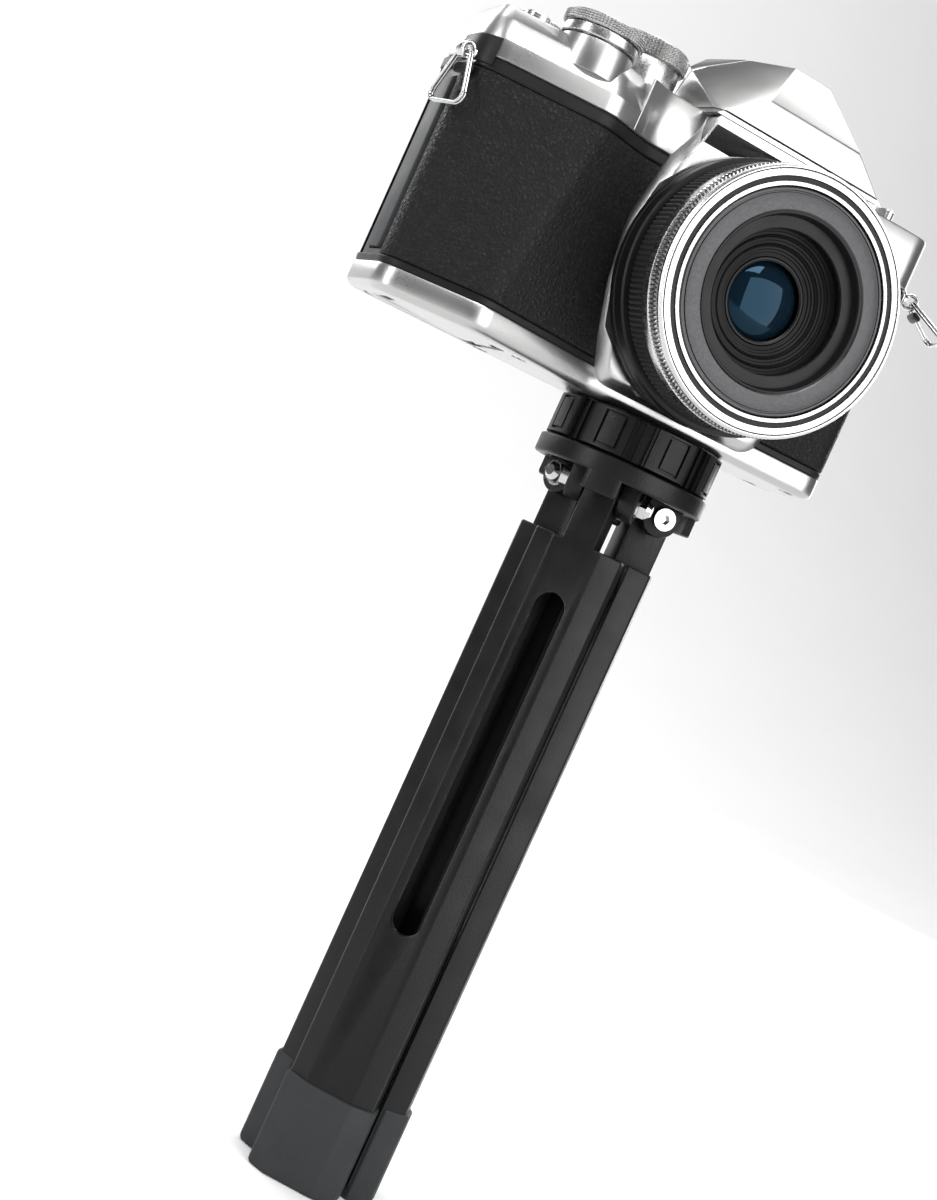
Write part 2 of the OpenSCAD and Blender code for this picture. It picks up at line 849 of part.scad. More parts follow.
module port_cover() {
    color(rubber) in_camera()
        span([-grip_end + 0.02, -grip_end + port_t], [port_y[0] + gap, port_y[1] - gap],
            [port_z[0] + gap, port_z[1] - gap]);
}

// ---------------------------------------------------------------- straps
module at_lug(lug, turn) {
    translate(lug) rotate([0, 0, turn]) children();
}

grip_lug_turn = 196;
far_lug_turn = -20;

// Local X points away from the body
module lug_post() {
    difference() {
        union() {
            translate([-4, 0, 0]) rotate([0, 90, 0]) cylinder(r = 1.7, h = 2.8 + lug_reach);
            translate([lug_reach, 1.2, 0]) rotate([90, 0, 0]) cylinder(r = 2.1, h = 2.4);
        }
        translate([lug_reach, 5, 0]) rotate([90, 0, 0]) cylinder(r = 1.1, h = 10);
    }
}

module strap_lugs() {
    color(chrome) in_camera() {
        at_lug(lug_grip, grip_lug_turn) lug_post();
        at_lug(lug_far, far_lug_turn) lug_post();
    }
}

module lug_bores() {
    for (place = [[lug_grip, grip_lug_turn], [lug_far, far_lug_turn]])
        at_lug(place[0], place[1]) translate([-4, 0, 0]) rotate([0, 90, 0]) cylinder(r = 1.7, h = 5);
}

// Wire ring with a straight top that passes through the lug's eye
module wire_ring(lean) {
    corners = [
        [-ring_top, ring_sag], [ring_top, ring_sag], [ring_size, ring_drop], [-ring_size, ring_drop],
    ];
    rotate([0, lean, 0])
        for (i = [0:3])
            let (a = corners[i], b = corners[(i + 1) % 4], run = norm(b - a))
                translate([0, a[0], a[1]]) {
                    sphere(r = ring_wire);
                    rotate([-atan2(b[0] - a[0], b[1] - a[1]), 0, 0]) cylinder(r = ring_wire, h = run);
                }
}

module at_eye(lug, turn) {
    in_camera() at_lug(lug, turn) translate([lug_reach, 0, 0]) children();
}

module strap_ring_grip_side() {
    color(chrome) at_eye(lug_grip, grip_lug_turn) wire_ring(0);
}

module strap_ring_far_side() {
    color(chrome) at_eye(lug_far, far_lug_turn) wire_ring(ring_lean_far);
}

// Guard plate behind the ring, between the wire and the body
module ring_guard(lean) {
    guard_t = 1;
    rotate([0, lean, 0]) span([-ring_wire - guard_t, -ring_wire], [-3.6, 3.6], [-4.6, -2.3]);
}

module ring_cover_grip_side() {
    color(black) at_eye(lug_grip, grip_lug_turn) ring_guard(0);
}

module ring_cover_far_side() {
    color(black) at_eye(lug_far, far_lug_turn) ring_guard(ring_lean_far);
}

// ---------------------------------------------------------------- inside
module battery() {
    color(black) in_camera() span([-68.4, -44.4], [-7, 6], [1.8, 48]);
}

module memory_card() {
    color(black) in_camera() span([-68.8, -44.8], [7.6, 9.7], [1.8, 33]);
}

module shutter_unit() {
    color(black) in_camera() difference() {
        span([-20, 22], [-4, 0], [14, 49]);
        translate([0, 0, lens_h]) span([-8.8, 8.8], [-10, 10], [-6.6, 6.6]);
    }
}

module image_sensor() {
    color(board) in_camera() union() {
        span([-16, 16], [3, 5], [16, 47]);
        translate([0, 0, lens_h]) span([-11, 11], [1.4, 3.01], [-8.5, 8.5]);
    }
}

module main_board() {
    color(board) in_camera() union() {
        span([-38, 36], [8, 9.4], [9, 50]);
        for (x = [-28, -6, 16]) span([x, x + 12], [6.6, 8.01], [24, 36]);
    }
}

// ------------------------------------------------------------------ lens
module mount_ring() {
    color(chrome) on_lens_axis() tube(base_r - 2, throat_r - 2.4, mount_back, flange_h - 0.1);
}

module lens_barrel() {
    color(black) on_lens_axis() rotate_extrude() polygon([
        [17.4, 6], [20.8, 6], [20.8, flange_h], [base_r, flange_h], [base_r, base_h],
        [sleeve_r, base_h], [sleeve_r, bezel_h], [guide_r + 0.45, bezel_h], [guide_r + 0.45, 16.2],
        [17.4, 16.2],
    ]);
}

module front_bezel() {
    groove = 0.5;
    color(silver) on_lens_axis() rotate_extrude() polygon([
        [guide_r, bezel_h], [bezel_r, bezel_h], [bezel_r, lens_front - 0.4], [bezel_r - 0.4, lens_front],
        [27.4, lens_front], [27.4, lens_front - groove], [26.9, lens_front - groove], [26.9, lens_front],
        [25.6, lens_front], [25.6, lens_front - groove], [24.6, lens_front - groove], [24.6, lens_front],
        [guide_r, lens_front],
    ]);
}

module zoom_ring() {
    color(black) on_lens_axis() tube(zoom_ring_r, sleeve_r + running, base_h + gap, 28.3);
}

module focus_ring() {
    color(silver) on_lens_axis() tube(28.3, sleeve_r + running, 28.6, bezel_h - gap);
}

module inner_barrel() {
    thread_l = 3;
    face_h = lens_front - 0.2;
    color(silver) on_lens_axis() rotate_extrude() polygon([
        [21, 17], [inner_barrel_r, 17], [inner_barrel_r, face_h], [filter_r, face_h],
        [filter_r, face_h - thread_l], [15.1, face_h - thread_l], [15.1, 31.2], [21, 31.2],
    ]);
}

module lens_baffle() {
    color(black) on_lens_axis()
        rotate_extrude() polygon([[9.1, 24], [21, 24], [21, 31.2], [15.1, 31.2], [9.1, 28]]);
}

module front_lens() {
    crown_h = 1.2;
    ball_r = (9.1 * 9.1 + crown_h * crown_h) / (2 * crown_h);
    color(glass) on_lens_axis() intersection() {
        translate([0, 0, 24]) cylinder(r = 9.1, h = 5);
        translate([0, 0, 27.4 + crown_h - ball_r]) sphere(r = ball_r, $fn = 128);
    }
}

module rear_lens() {
    color(glass) on_lens_axis() translate([0, 0, 8]) cylinder(r = 17.4, h = 3);
}

leg_a();
leg_b();
leg_c();
foot_a();
foot_b();
foot_c();
hinge_bolts();
crown();
camera_screw();
lock_wheel();
body_shell();
top_cover();
bottom_plate();
rear_cover();
grip_leather();
side_leather();
mount_housing();
mount_ring();
tripod_bush();
eyecup();
evf_window();
hot_shoe();
strap_lugs();
battery();
memory_card();
image_sensor();
shutter_unit();
main_board();
lens_barrel();
front_bezel();
rear_lens();
zoom_ring();
focus_ring();
inner_barrel();
lens_baffle();
front_lens();
flash_unit();
flash_window();
mode_dial();
front_dial();
shutter_button();
rear_dial();
power_lever();
record_button();
lens_release_button();
ok_button();
arrow_pad();
menu_button();
info_button();
play_button();
delete_button();
strap_ring_grip_side();
strap_ring_far_side();
ring_cover_grip_side();
ring_cover_far_side();
port_cover();
battery_door();
screen_arm();
screen_panel();
screen_glass();
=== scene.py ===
"""Looks of a mirrorless camera on a folded mini tripod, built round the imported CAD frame."""
import json
import math

import bmesh
import bpy
from mathutils import Matrix, Vector


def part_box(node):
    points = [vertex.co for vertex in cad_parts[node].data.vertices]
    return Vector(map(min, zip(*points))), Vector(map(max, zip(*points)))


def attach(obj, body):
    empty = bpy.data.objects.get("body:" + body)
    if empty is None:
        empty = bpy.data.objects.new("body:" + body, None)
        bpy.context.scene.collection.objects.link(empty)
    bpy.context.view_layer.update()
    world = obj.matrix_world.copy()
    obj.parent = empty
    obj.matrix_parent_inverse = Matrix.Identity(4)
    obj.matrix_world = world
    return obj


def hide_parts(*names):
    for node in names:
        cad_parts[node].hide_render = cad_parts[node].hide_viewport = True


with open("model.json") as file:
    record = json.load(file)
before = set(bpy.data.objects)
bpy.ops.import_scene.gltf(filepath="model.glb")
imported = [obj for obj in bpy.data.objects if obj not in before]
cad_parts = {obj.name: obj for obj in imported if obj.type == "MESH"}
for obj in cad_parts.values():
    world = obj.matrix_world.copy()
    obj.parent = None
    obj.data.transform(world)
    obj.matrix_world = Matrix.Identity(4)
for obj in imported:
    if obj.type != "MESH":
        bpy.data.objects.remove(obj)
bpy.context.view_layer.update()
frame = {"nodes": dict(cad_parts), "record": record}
MM = 0.001


def low(node):
    return [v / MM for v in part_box(node)[0]]


def high(node):
    return [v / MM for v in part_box(node)[1]]


def middle(node):
    return [(a + b) / 2 for a, b in zip(low(node), high(node))]


# ---- Places and sizes taken from the frame, in millimetres ----
BASE = low("bottom_plate")[2]
GRIP_END = -low("top_cover")[0]
FAR_END = high("top_cover")[0]
BACK_Y = 15.0
FRONT_Y = -11.0
PLATE_H = high("bottom_plate")[2] - BASE
LENS_H = middle("lens_barrel")[2] - BASE
LENS_FRONT = -low("front_bezel")[1]
DECK_H = 64.0

# ---- Heights and plan of the body, from the base up ----
LIP_LOW, LIP_HIGH, COVER_Z = 7.0, 49.5, 52.3
LEATHER_T = 0.9
THROAT_R = 23.8
RIDGE_LOW, RIDGE_HIGH = (-53.0, -20.0), (-43.4, -16.5)
CORNER_LOW, CORNER_HIGH = -8.3, -10.5
END_LEAN = 0.4
BLEND_LOW, BLEND_HIGH = -21.0, -31.0
RIDGE_TOP_Z = 51.2


# ------------------------------------------------------------------ meshes
def mix(a, b, t):
    return a + (b - a) * t


def mesh_object(name, verts, faces, lift=0.0):
    mesh = bpy.data.meshes.new(name)
    mesh.from_pydata([(x * MM, y * MM, (z + lift) * MM) for x, y, z in verts], [], faces)
    mesh.update()
    obj = bpy.data.objects.new(name, mesh)
    bpy.context.scene.collection.objects.link(obj)
    return obj


def tidy(obj, angle=32):
    """Merges doubles, makes normals point out, and shades smooth up to an angle."""
    bm = bmesh.new()
    bm.from_mesh(obj.data)
    bmesh.ops.remove_doubles(bm, verts=bm.verts, dist=1e-6)
    bmesh.ops.dissolve_degenerate(bm, edges=bm.edges, dist=1e-7)
    bmesh.ops.recalc_face_normals(bm, faces=bm.faces)
    bm.to_mesh(obj.data)
    bm.free()
    shade(obj, angle)
    return obj


def shade(obj, angle=32):
    for polygon in obj.data.polygons:
        polygon.use_smooth = True
    obj.data.set_sharp_from_angle(angle=math.radians(angle))
    return obj


def bevel(obj, width, segments=3, angle=28):
    bm = bmesh.new()
    bm.from_mesh(obj.data)
    bmesh.ops.remove_doubles(bm, verts=bm.verts, dist=1e-6)
    bmesh.ops.dissolve_limit(
        bm, angle_limit=math.radians(0.5), verts=bm.verts, edges=bm.edges, delimit={"NORMAL"})
    sharp = [e for e in bm.edges if e.is_manifold and e.calc_face_angle(0) > math.radians(angle)]
    bmesh.ops.bevel(bm, geom=sharp, offset=width * MM, segments=segments, profile=0.5,
                    affect="EDGES", clamp_overlap=True)
    bmesh.ops.recalc_face_normals(bm, faces=bm.faces)
    bm.to_mesh(obj.data)
    bm.free()
    return shade(obj, 30)


def rounded(corners, steps=5, inset=0.0):
    """A closed outline whose corners (x, y, radius) are arcs, moved inward by inset."""
    count = len(corners)
    area = sum(corners[i - 1][0] * corners[i][1] - corners[i][0] * corners[i - 1][1] for i in range(count))
    turn = 1 if area > 0 else -1
    points = []
    for i, (x, y, radius) in enumerate(corners):
        here = Vector((x, y))
        before = Vector(corners[i - 1][:2])
        after = Vector(corners[(i + 1) % count][:2])
        d_in, d_out = (here - before).normalized(), (after - here).normalized()
        n_in = Vector((-d_in.y, d_in.x)) * turn
        cross = d_in.x * d_out.y - d_in.y * d_out.x
        bend = math.atan2(cross, d_in.dot(d_out))
        half = math.tan(bend / 2) * turn
        vertex = here + n_in * inset - d_in * half * inset
        convex = bend * turn > 0
        r = max(radius - inset, 0.02) if convex else radius + inset
        reach = abs(math.tan(bend / 2)) * r
        centre = vertex - d_in * reach + (n_in if convex else -n_in) * r
        start = (vertex - d_in * reach) - centre
        for k in range(steps + 1):
            a = bend * k / steps
            points.append((centre.x + start.x * math.cos(a) - start.y * math.sin(a),
                           centre.y + start.x * math.sin(a) + start.y * math.cos(a)))
    return points


def loft(name, rings, lift=0.0):
    """Closed skin through rings of the same number of points, capped at both ends."""
    n = len(rings[0])
    verts = [p for ring in rings for p in ring]
    faces = []
    for k in range(len(rings) - 1):
        for i in range(n):
            j = (i + 1) % n
            faces.append((k * n + i, k * n + j, (k + 1) * n + j, (k + 1) * n + i))
    faces.append(tuple(range(n - 1, -1, -1)))
    faces.append(tuple(range((len(rings) - 1) * n, len(rings) * n)))
    return mesh_object(name, verts, faces, lift)


def lens_place(u, v, h):
    return (u, -h, LENS_H + v)


def upright_place(centre):
    return lambda u, v, h: (centre[0] + u, centre[1] + v, h)


def lathe(name, profile, steps, place, lift=None):
    """Turns a profile of (r, h), or profile(step), round an axis."""
    at = profile if callable(profile) else (lambda step: profile)
    n = len(at(0))
    verts, faces = [], []
    for j in range(steps):
        a = 2 * math.pi * j / steps
        for r, h in at(j):
            verts.append(place(r * math.cos(a), r * math.sin(a), h))
    for j in range(steps):
        k = (j + 1) % steps
        for i in range(n):
            m = (i + 1) % n
            faces.append((j * n + i, j * n + m, k * n + m, k * n + i))
    return mesh_object(name, verts, faces, BASE if lift is None else lift)


def spun(name, profile, steps, place, angle=30):
    """A turned piece, cleaned and shaded smooth up to an angle."""
    return tidy(lathe(name, profile, steps, place), angle)


def section(points, radius=0.15, steps=3):
    """A lathe profile with every corner rounded; a point may give its own radius."""
    return rounded([(p[0], p[1], p[2] if len(p) > 2 else radius) for p in points], steps)


def join(name, objects):
    bm = bmesh.new()
    for obj in objects:
        part = obj.data.copy()
        part.transform(obj.matrix_world)
        bm.from_mesh(part)
        bpy.data.meshes.remove(part)
        bpy.data.objects.remove(obj)
    mesh = bpy.data.meshes.new(name)
    bm.to_mesh(mesh)
    bm.free()
    result = bpy.data.objects.new(name, mesh)
    bpy.context.scene.collection.objects.link(result)
    return result


def boolean(obj, other, operation="DIFFERENCE"):
    """Cuts obj by other, or joins them, and removes other."""
    modifier = obj.modifiers.new("cut", "BOOLEAN")
    modifier.operation = operation
    modifier.object = other
    modifier.solver = "EXACT"
    graph = bpy.context.evaluated_depsgraph_get()
    mesh = bpy.data.meshes.new_from_object(obj.evaluated_get(graph))
    obj.modifiers.clear()
    obj.data = mesh
    bpy.data.objects.remove(other)
    return obj


def box(name, x, y, z):
    corners = [(a, b, c) for c in z for b in y for a in x]
    faces = [(0, 2, 3, 1), (4, 5, 7, 6), (0, 1, 5, 4), (2, 6, 7, 3), (0, 4, 6, 2), (1, 3, 7, 5)]
    return mesh_object(name, corners, faces, BASE)


def rod(name, a, b, r, steps=24, lift=None):
    """A round rod between two points."""
    a, b = Vector(a), Vector(b)
    axis = (b - a).normalized()
    side = axis.orthogonal().normalized()
    up = axis.cross(side)
    rings = [[tuple(end + (side * math.cos(t) + up * math.sin(t)) * r)
              for t in (2 * math.pi * i / steps for i in range(steps))] for end in (a, b)]
    return loft(name, rings, BASE if lift is None else lift)


# --------------------------------------------------------------- materials
class Look:
    """A node material with one Principled shader and helpers to drive it."""

    def __init__(self, name, color, roughness, metallic=0.0, **sockets):
        self.mat = bpy.data.materials.new(name)
        self.mat.use_nodes = True
        self.nodes = self.mat.node_tree.nodes
        self.links = self.mat.node_tree.links
        self.shader = self.nodes["Principled BSDF"]
        self.set(**{"Base Color": (*color, 1.0), "Roughness": roughness, "Metallic": metallic})
        self.set(**{key.replace("_", " "): value for key, value in sockets.items()})
        self.coords = self.nodes.new("ShaderNodeTexCoord").outputs["Object"]

    def set(self, **sockets):
        for key, value in sockets.items():
            self.shader.inputs[key].default_value = value

    def stretched(self, scale):
        mapping = self.nodes.new("ShaderNodeMapping")
        mapping.inputs["Scale"].default_value = scale
        self.links.new(self.coords, mapping.inputs["Vector"])
        return mapping.outputs["Vector"]

    def noise(self, scale, detail=4.0, vector=None, distortion=0.0):
        node = self.nodes.new("ShaderNodeTexNoise")
        node.inputs["Scale"].default_value = scale
        node.inputs["Detail"].default_value = detail
        node.inputs["Distortion"].default_value = distortion
        self.links.new(vector or self.coords, node.inputs["Vector"])
        return node.outputs["Fac"]

    def voronoi(self, scale, feature="F1", vector=None, randomness=1.0):
        node = self.nodes.new("ShaderNodeTexVoronoi")
        node.feature = feature
        node.inputs["Scale"].default_value = scale
        node.inputs["Randomness"].default_value = randomness
        self.links.new(vector or self.coords, node.inputs["Vector"])
        return node.outputs["Distance"]

    def ramp(self, value, low_at, high_at, low_value, high_value):
        node = self.nodes.new("ShaderNodeMapRange")
        node.inputs["From Min"].default_value = low_at
        node.inputs["From Max"].default_value = high_at
        node.inputs["To Min"].default_value = low_value
        node.inputs["To Max"].default_value = high_value
        self.links.new(value, node.inputs["Value"])
        return node.outputs["Result"]

    def math(self, operation, a, b):
        node = self.nodes.new("ShaderNodeMath")
        node.operation = operation
        for socket, value in zip(node.inputs, (a, b)):
            if isinstance(value, (int, float)):
                socket.default_value = value
            else:
                self.links.new(value, socket)
        return node.outputs[0]

    def tint(self, value, dark, light):
        node = self.nodes.new("ShaderNodeMix")
        node.data_type = "RGBA"
        node.inputs["A"].default_value = (*dark, 1.0)
        node.inputs["B"].default_value = (*light, 1.0)
        self.links.new(value, node.inputs["Factor"])
        self.links.new(node.outputs["Result"], self.shader.inputs["Base Color"])

    def rough(self, value):
        self.links.new(value, self.shader.inputs["Roughness"])

    def bump(self, value, depth_mm, strength=1.0):
        node = self.nodes.new("ShaderNodeBump")
        node.inputs["Strength"].default_value = strength
        node.inputs["Distance"].default_value = depth_mm * MM
        self.links.new(value, node.inputs["Height"])
        normal = self.shader.inputs["Normal"]
        if normal.links:
            self.links.new(normal.links[0].from_socket, node.inputs["Normal"])
        self.links.new(node.outputs["Normal"], normal)


def satin_silver(name, color=(0.47, 0.47, 0.467), roughness=0.3, grain=0.012):
    look = Look(name, color, roughness, metallic=1.0)
    speck = look.noise(5200, 2)
    cloud = look.noise(60, 3)
    look.rough(look.ramp(look.math("ADD", speck, cloud), 0.6, 1.4, roughness - 0.05, roughness + 0.07))
    dark = tuple(c * 0.93 for c in color)
    look.tint(cloud, dark, color)
    look.bump(speck, grain)
    return look.mat


def turned_metal(name, color, roughness):
    look = Look(name, color, roughness, metallic=1.0)
    fine = look.noise(2400, 3, look.stretched((1, 0.12, 1)))
    look.rough(look.ramp(fine, 0.3, 0.7, roughness - 0.06, roughness + 0.08))
    look.tint(look.noise(90, 3), tuple(c * 0.92 for c in color), color)
    look.bump(fine, 0.01)
    return look.mat


def pebbled_leather(name):
    look = Look(name, (0.006, 0.006, 0.006), 0.5, Specular_IOR_Level=0.2)
    warp = look.noise(320, 3)
    cells = look.voronoi(1450, "SMOOTH_F1", randomness=1.0)
    creases = look.voronoi(900, "DISTANCE_TO_EDGE")
    crack = look.ramp(creases, 0.0, 0.16, 0.0, 1.0)
    height = look.math("MULTIPLY", look.ramp(cells, 0.0, 0.7, 1.0, 0.0), crack)
    look.bump(height, 0.16)
    look.bump(look.noise(6000, 2), 0.02)
    look.rough(look.ramp(height, 0.1, 0.8, 0.6, 0.34))
    # Painted shade: the base colour is darker in the grain's creases and cell edges because it follows the
    # bump height; the warp noise adds random tone on top.
    look.tint(look.math("MULTIPLY", height, warp), (0.003, 0.003, 0.003), (0.014, 0.014, 0.014))
    return look.mat


def grained_plastic(name, color, roughness, grain_mm=0.35, depth=0.02, shine=0.2):
    look = Look(name, color, roughness, Specular_IOR_Level=shine)
    grain = look.noise(1000 / grain_mm, 2)
    look.bump(grain, depth)
    look.rough(look.ramp(look.noise(120, 3), 0.3, 0.7, roughness - 0.06, roughness + 0.08))
    look.tint(grain, tuple(c * 0.8 for c in color), tuple(min(c * 1.25, 1) for c in color))
    return look.mat


def plated_steel(name, color=(0.55, 0.55, 0.56), roughness=0.14):
    look = Look(name, color, roughness, metallic=1.0)
    scratches = look.noise(900, 4, look.stretched((1, 1, 4)))
    look.rough(look.ramp(scratches, 0.35, 0.65, roughness - 0.04, roughness + 0.1))
    look.tint(look.noise(70, 2), tuple(c * 0.9 for c in color), color)
    look.bump(scratches, 0.004)
    return look.mat


def coated_glass(name, color, tint, shine):
    look = Look(name, color, 0.02, IOR=1.62, Specular_IOR_Level=shine)
    look.set(**{"Specular Tint": (*tint, 1.0)})
    look.tint(look.noise(50, 2), tuple(c * 0.85 for c in color), color)
    return look.mat


def ribbed_diffuser(name):
    look = Look(name, (0.86, 0.88, 0.9), 0.18, Transmission_Weight=0.35)
    ribs = look.nodes.new("ShaderNodeTexWave")
    ribs.inputs["Scale"].default_value = 400
    look.links.new(look.coords, ribs.inputs["Vector"])
    look.bump(ribs.outputs["Fac"], 0.2)
    look.tint(look.noise(200, 2), (0.78, 0.8, 0.83), (0.9, 0.91, 0.93))
    return look.mat


def circuit_look(name):
    look = Look(name, (0.04, 0.2, 0.1), 0.35)
    tracks = look.voronoi(420, "DISTANCE_TO_EDGE", look.stretched((1, 1, 1)), randomness=0.2)
    look.tint(look.ramp(tracks, 0.0, 0.08, 1.0, 0.0), (0.03, 0.16, 0.08), (0.12, 0.4, 0.18))
    look.bump(tracks, 0.05)
    return look.mat


MATERIALS = {
    "silver_body": satin_silver("silver_body"),
    "silver_dials": turned_metal("silver_dials", (0.55, 0.55, 0.547), 0.27),
    "lens_silver": turned_metal("lens_silver", (0.6, 0.6, 0.6), 0.24),
    "lens_face": turned_metal("lens_face", (0.06, 0.06, 0.062), 0.36),
    "lens_black": grained_plastic("lens_black", (0.006, 0.006, 0.0065), 0.36, 0.2, 0.01),
    "leatherette": pebbled_leather("leatherette"),
    "black_body": grained_plastic("black_body", (0.007, 0.007, 0.0075), 0.4),
    "black_buttons": grained_plastic("black_buttons", (0.01, 0.01, 0.0105), 0.34, 0.3, 0.01),
    "tripod_black": grained_plastic("tripod_black", (0.004, 0.004, 0.0045), 0.38, 0.5, 0.05, 0.24),
    "foot_rubber": grained_plastic("foot_rubber", (0.02, 0.022, 0.024), 0.62, 0.3, 0.03, 0.3),
    "soft_rubber": grained_plastic("soft_rubber", (0.05, 0.052, 0.054), 0.55, 0.3, 0.02),
    "chrome_steel": plated_steel("chrome_steel"),
    "screen_glass": coated_glass("screen_glass", (0.006, 0.006, 0.008), (0.9, 0.95, 1.0), 0.5),
    "flash_glass": ribbed_diffuser("flash_glass"),
    "lens_glass": coated_glass("lens_glass", (0.003, 0.009, 0.016), (0.3, 0.65, 1.0), 0.22),
    "inner_parts": grained_plastic("inner_parts", (0.04, 0.04, 0.045), 0.5),
    "circuit_board": circuit_look("circuit_board"),
    "focus_knurl": turned_metal("focus_knurl", (0.36, 0.36, 0.36), 0.3),
    "dial_knurl": turned_metal("dial_knurl", (0.5, 0.5, 0.497), 0.3),
    "lens_cone": grained_plastic("lens_cone", (0.004, 0.004, 0.0045), 0.4, 0.2, 0.004, 0.12),
    "red_mark": grained_plastic("red_mark", (0.5, 0.02, 0.02), 0.4, 0.2, 0.004),
    "white_print": grained_plastic("white_print", (0.7, 0.7, 0.7), 0.5, 0.2, 0.004),
    "gold_contact": plated_steel("gold_contact", (0.83, 0.65, 0.32), 0.2),
}


def dress_frame():
    """Gives every CAD node the material of its slot."""
    slots = {row["node"]: row["material_slot"] for row in frame["record"]["subparts"]}
    for node, obj in frame["nodes"].items():
        obj.data.materials.clear()
        obj.data.materials.append(MATERIALS[slots[node]])
        shade(obj, 30)


def place(obj, body, look, *nodes):
    """Finishes a piece: its material, its body and the CAD nodes it stands for."""
    obj.data.materials.clear()
    obj.data.materials.append(MATERIALS[look])
    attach(obj, body)
    if nodes:
        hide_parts(*nodes)
    return obj


dress_frame()


# ------------------------------------------------------------------- stage
def add_floor():
    look = Look("floor_paper", (0.82, 0.82, 0.82), 0.9)
    look.tint(look.noise(8, 2), (0.8, 0.8, 0.8), (0.83, 0.83, 0.83))
    size, rise, steps = 3.0, 1.6, 16
    rows = [(-size, 0.0), (0.9, 0.0)]
    for k in range(1, steps + 1):
        a = math.pi / 2 * k / steps
        rows.append((0.9 + rise * math.sin(a), rise * (1 - math.cos(a))))
    verts = [(x / MM, y / MM, z / MM - 0.02) for y, z in rows for x in (-size, size)]
    faces = [(2 * k, 2 * k + 1, 2 * k + 3, 2 * k + 2) for k in range(len(rows) - 1)]
    floor = mesh_object("floor", verts, faces)
    shade(floor, 60)
    floor.data.materials.append(look.mat)


def add_light(name, azimuth, elevation, distance, size, watts, aim):
    data = bpy.data.lights.new(name, "AREA")
    data.shape = "RECTANGLE"
    data.size, data.size_y = size
    data.energy = watts
    lamp = bpy.data.objects.new(name, data)
    bpy.context.scene.collection.objects.link(lamp)
    a, e = math.radians(azimuth), math.radians(elevation)
    offset = Vector((math.sin(a) * math.cos(e), -math.cos(a) * math.cos(e), math.sin(e))) * distance
    lamp.location = Vector(aim) + offset
    lamp.rotation_euler = (-offset).to_track_quat("-Z", "Y").to_euler()


def add_world(strength):
    world = bpy.data.worlds.new("studio")
    bpy.context.scene.world = world
    world.use_nodes = True
    background = world.node_tree.nodes["Background"]
    background.inputs["Color"].default_value = (1.0, 1.0, 1.0, 1.0)
    background.inputs["Strength"].default_value = strength


# The viewpoint, with the camera's own roll, fitted to the photograph
VIEW_AZIMUTH, VIEW_ELEVATION, VIEW_ROLL = -23.013, 2.004, 24.328
VIEW_TARGET = Vector((-0.021134, 0.0, 0.132769))
VIEW_DISTANCE = 0.419759
VIEW_LENS = 57.48


def add_camera():
    data = bpy.data.cameras.new("view")
    data.lens, data.sensor_width = VIEW_LENS, 36.0
    data.clip_start = 0.01
    camera = bpy.data.objects.new("view", data)
    bpy.context.scene.collection.objects.link(camera)
    a, e, roll = (math.radians(v) for v in (VIEW_AZIMUTH, VIEW_ELEVATION, VIEW_ROLL))
    back = Vector((math.sin(a) * math.cos(e), -math.cos(a) * math.cos(e), math.sin(e)))
    right = (-back).cross(Vector((0, 0, 1))).normalized()
    up = right.cross(-back)
    x_axis = right * math.cos(roll) + up * math.sin(roll)
    y_axis = up * math.cos(roll) - right * math.sin(roll)
    turn = Matrix((x_axis, y_axis, back)).transposed().to_4x4()
    camera.matrix_world = Matrix.Translation(VIEW_TARGET + back * VIEW_DISTANCE) @ turn
    bpy.context.scene.camera = camera
    bpy.context.scene.view_settings.view_transform = "Standard"


add_floor()
add_world(0.16)
AIM = (-0.02, 0.0, 0.2)
add_light("front_box", 24, 8, 1.1, (0.9, 0.9), 10, AIM)
add_light("upper_box", -14, 47, 1.1, (0.8, 0.34), 8, AIM)
add_light("left_strip", -74, 10, 0.9, (0.12, 1.0), 4.5, AIM)
add_light("back_left", -150, 25, 1.1, (0.5, 0.6), 5, AIM)
add_light("back_right", 130, 15, 1.1, (0.4, 0.8), 4.5, AIM)
add_light("wall_wash", 0, 40, 2.2, (2.6, 1.2), 46, (0.0, 2.2, 0.3))
add_camera()

# ------------------------------------------------------------ body outline
STEPS = 8
CORNER_POINTS = STEPS + 1
HOUSING_SIDE = [(20.6, 2.7, 5), (24.6, 12.5, 18), (27.7, 22.6, 20), (29.2, 35.6, 24), (26.1, 51.3, 20),
                (21.9, 60.2, 6), (21.6, 63.45, 0.4)]


def rise(z):
    return min(max((z - PLATE_H) / (RIDGE_TOP_Z - PLATE_H), 0.0), 1.0)


def plan(z, inset=0.0):
    """The body's outline at a height: back corner, grip corner, ridge, blend, far corners."""
    t = rise(z)
    corners = [
        (-GRIP_END, BACK_Y, 5.0),
        (-GRIP_END, mix(CORNER_LOW, CORNER_HIGH, t), 7.5),
        (mix(RIDGE_LOW[0], RIDGE_HIGH[0], t), mix(RIDGE_LOW[1], RIDGE_HIGH[1], t) - 0.25, 7.0),
        (mix(BLEND_LOW, BLEND_HIGH, t), FRONT_Y, 9.0),
        (FAR_END, FRONT_Y, 5.5),
        (FAR_END, BACK_Y, 5.0),
    ]
    return rounded(corners, STEPS, inset)


def body_loft(name, levels):
    rings = [[(x, y, z) for x, y in plan(z, inset)] for z, inset in levels]
    return tidy(loft(name, rings, BASE), 30)


def housing_half(z):
    """Half width of the housing at a height."""
    for (x0, z0, _), (x1, z1, _) in zip(HOUSING_SIDE, HOUSING_SIDE[1:]):
        if z <= z1:
            return mix(x0, x1, min(max((z - z0) / (z1 - z0), 0.0), 1.0))
    return HOUSING_SIDE[-1][0]


def circle(r, steps):
    turns = [2 * math.pi * i / steps for i in range(steps)]
    return [(math.cos(a) * r, math.sin(a) * r) for a in turns]


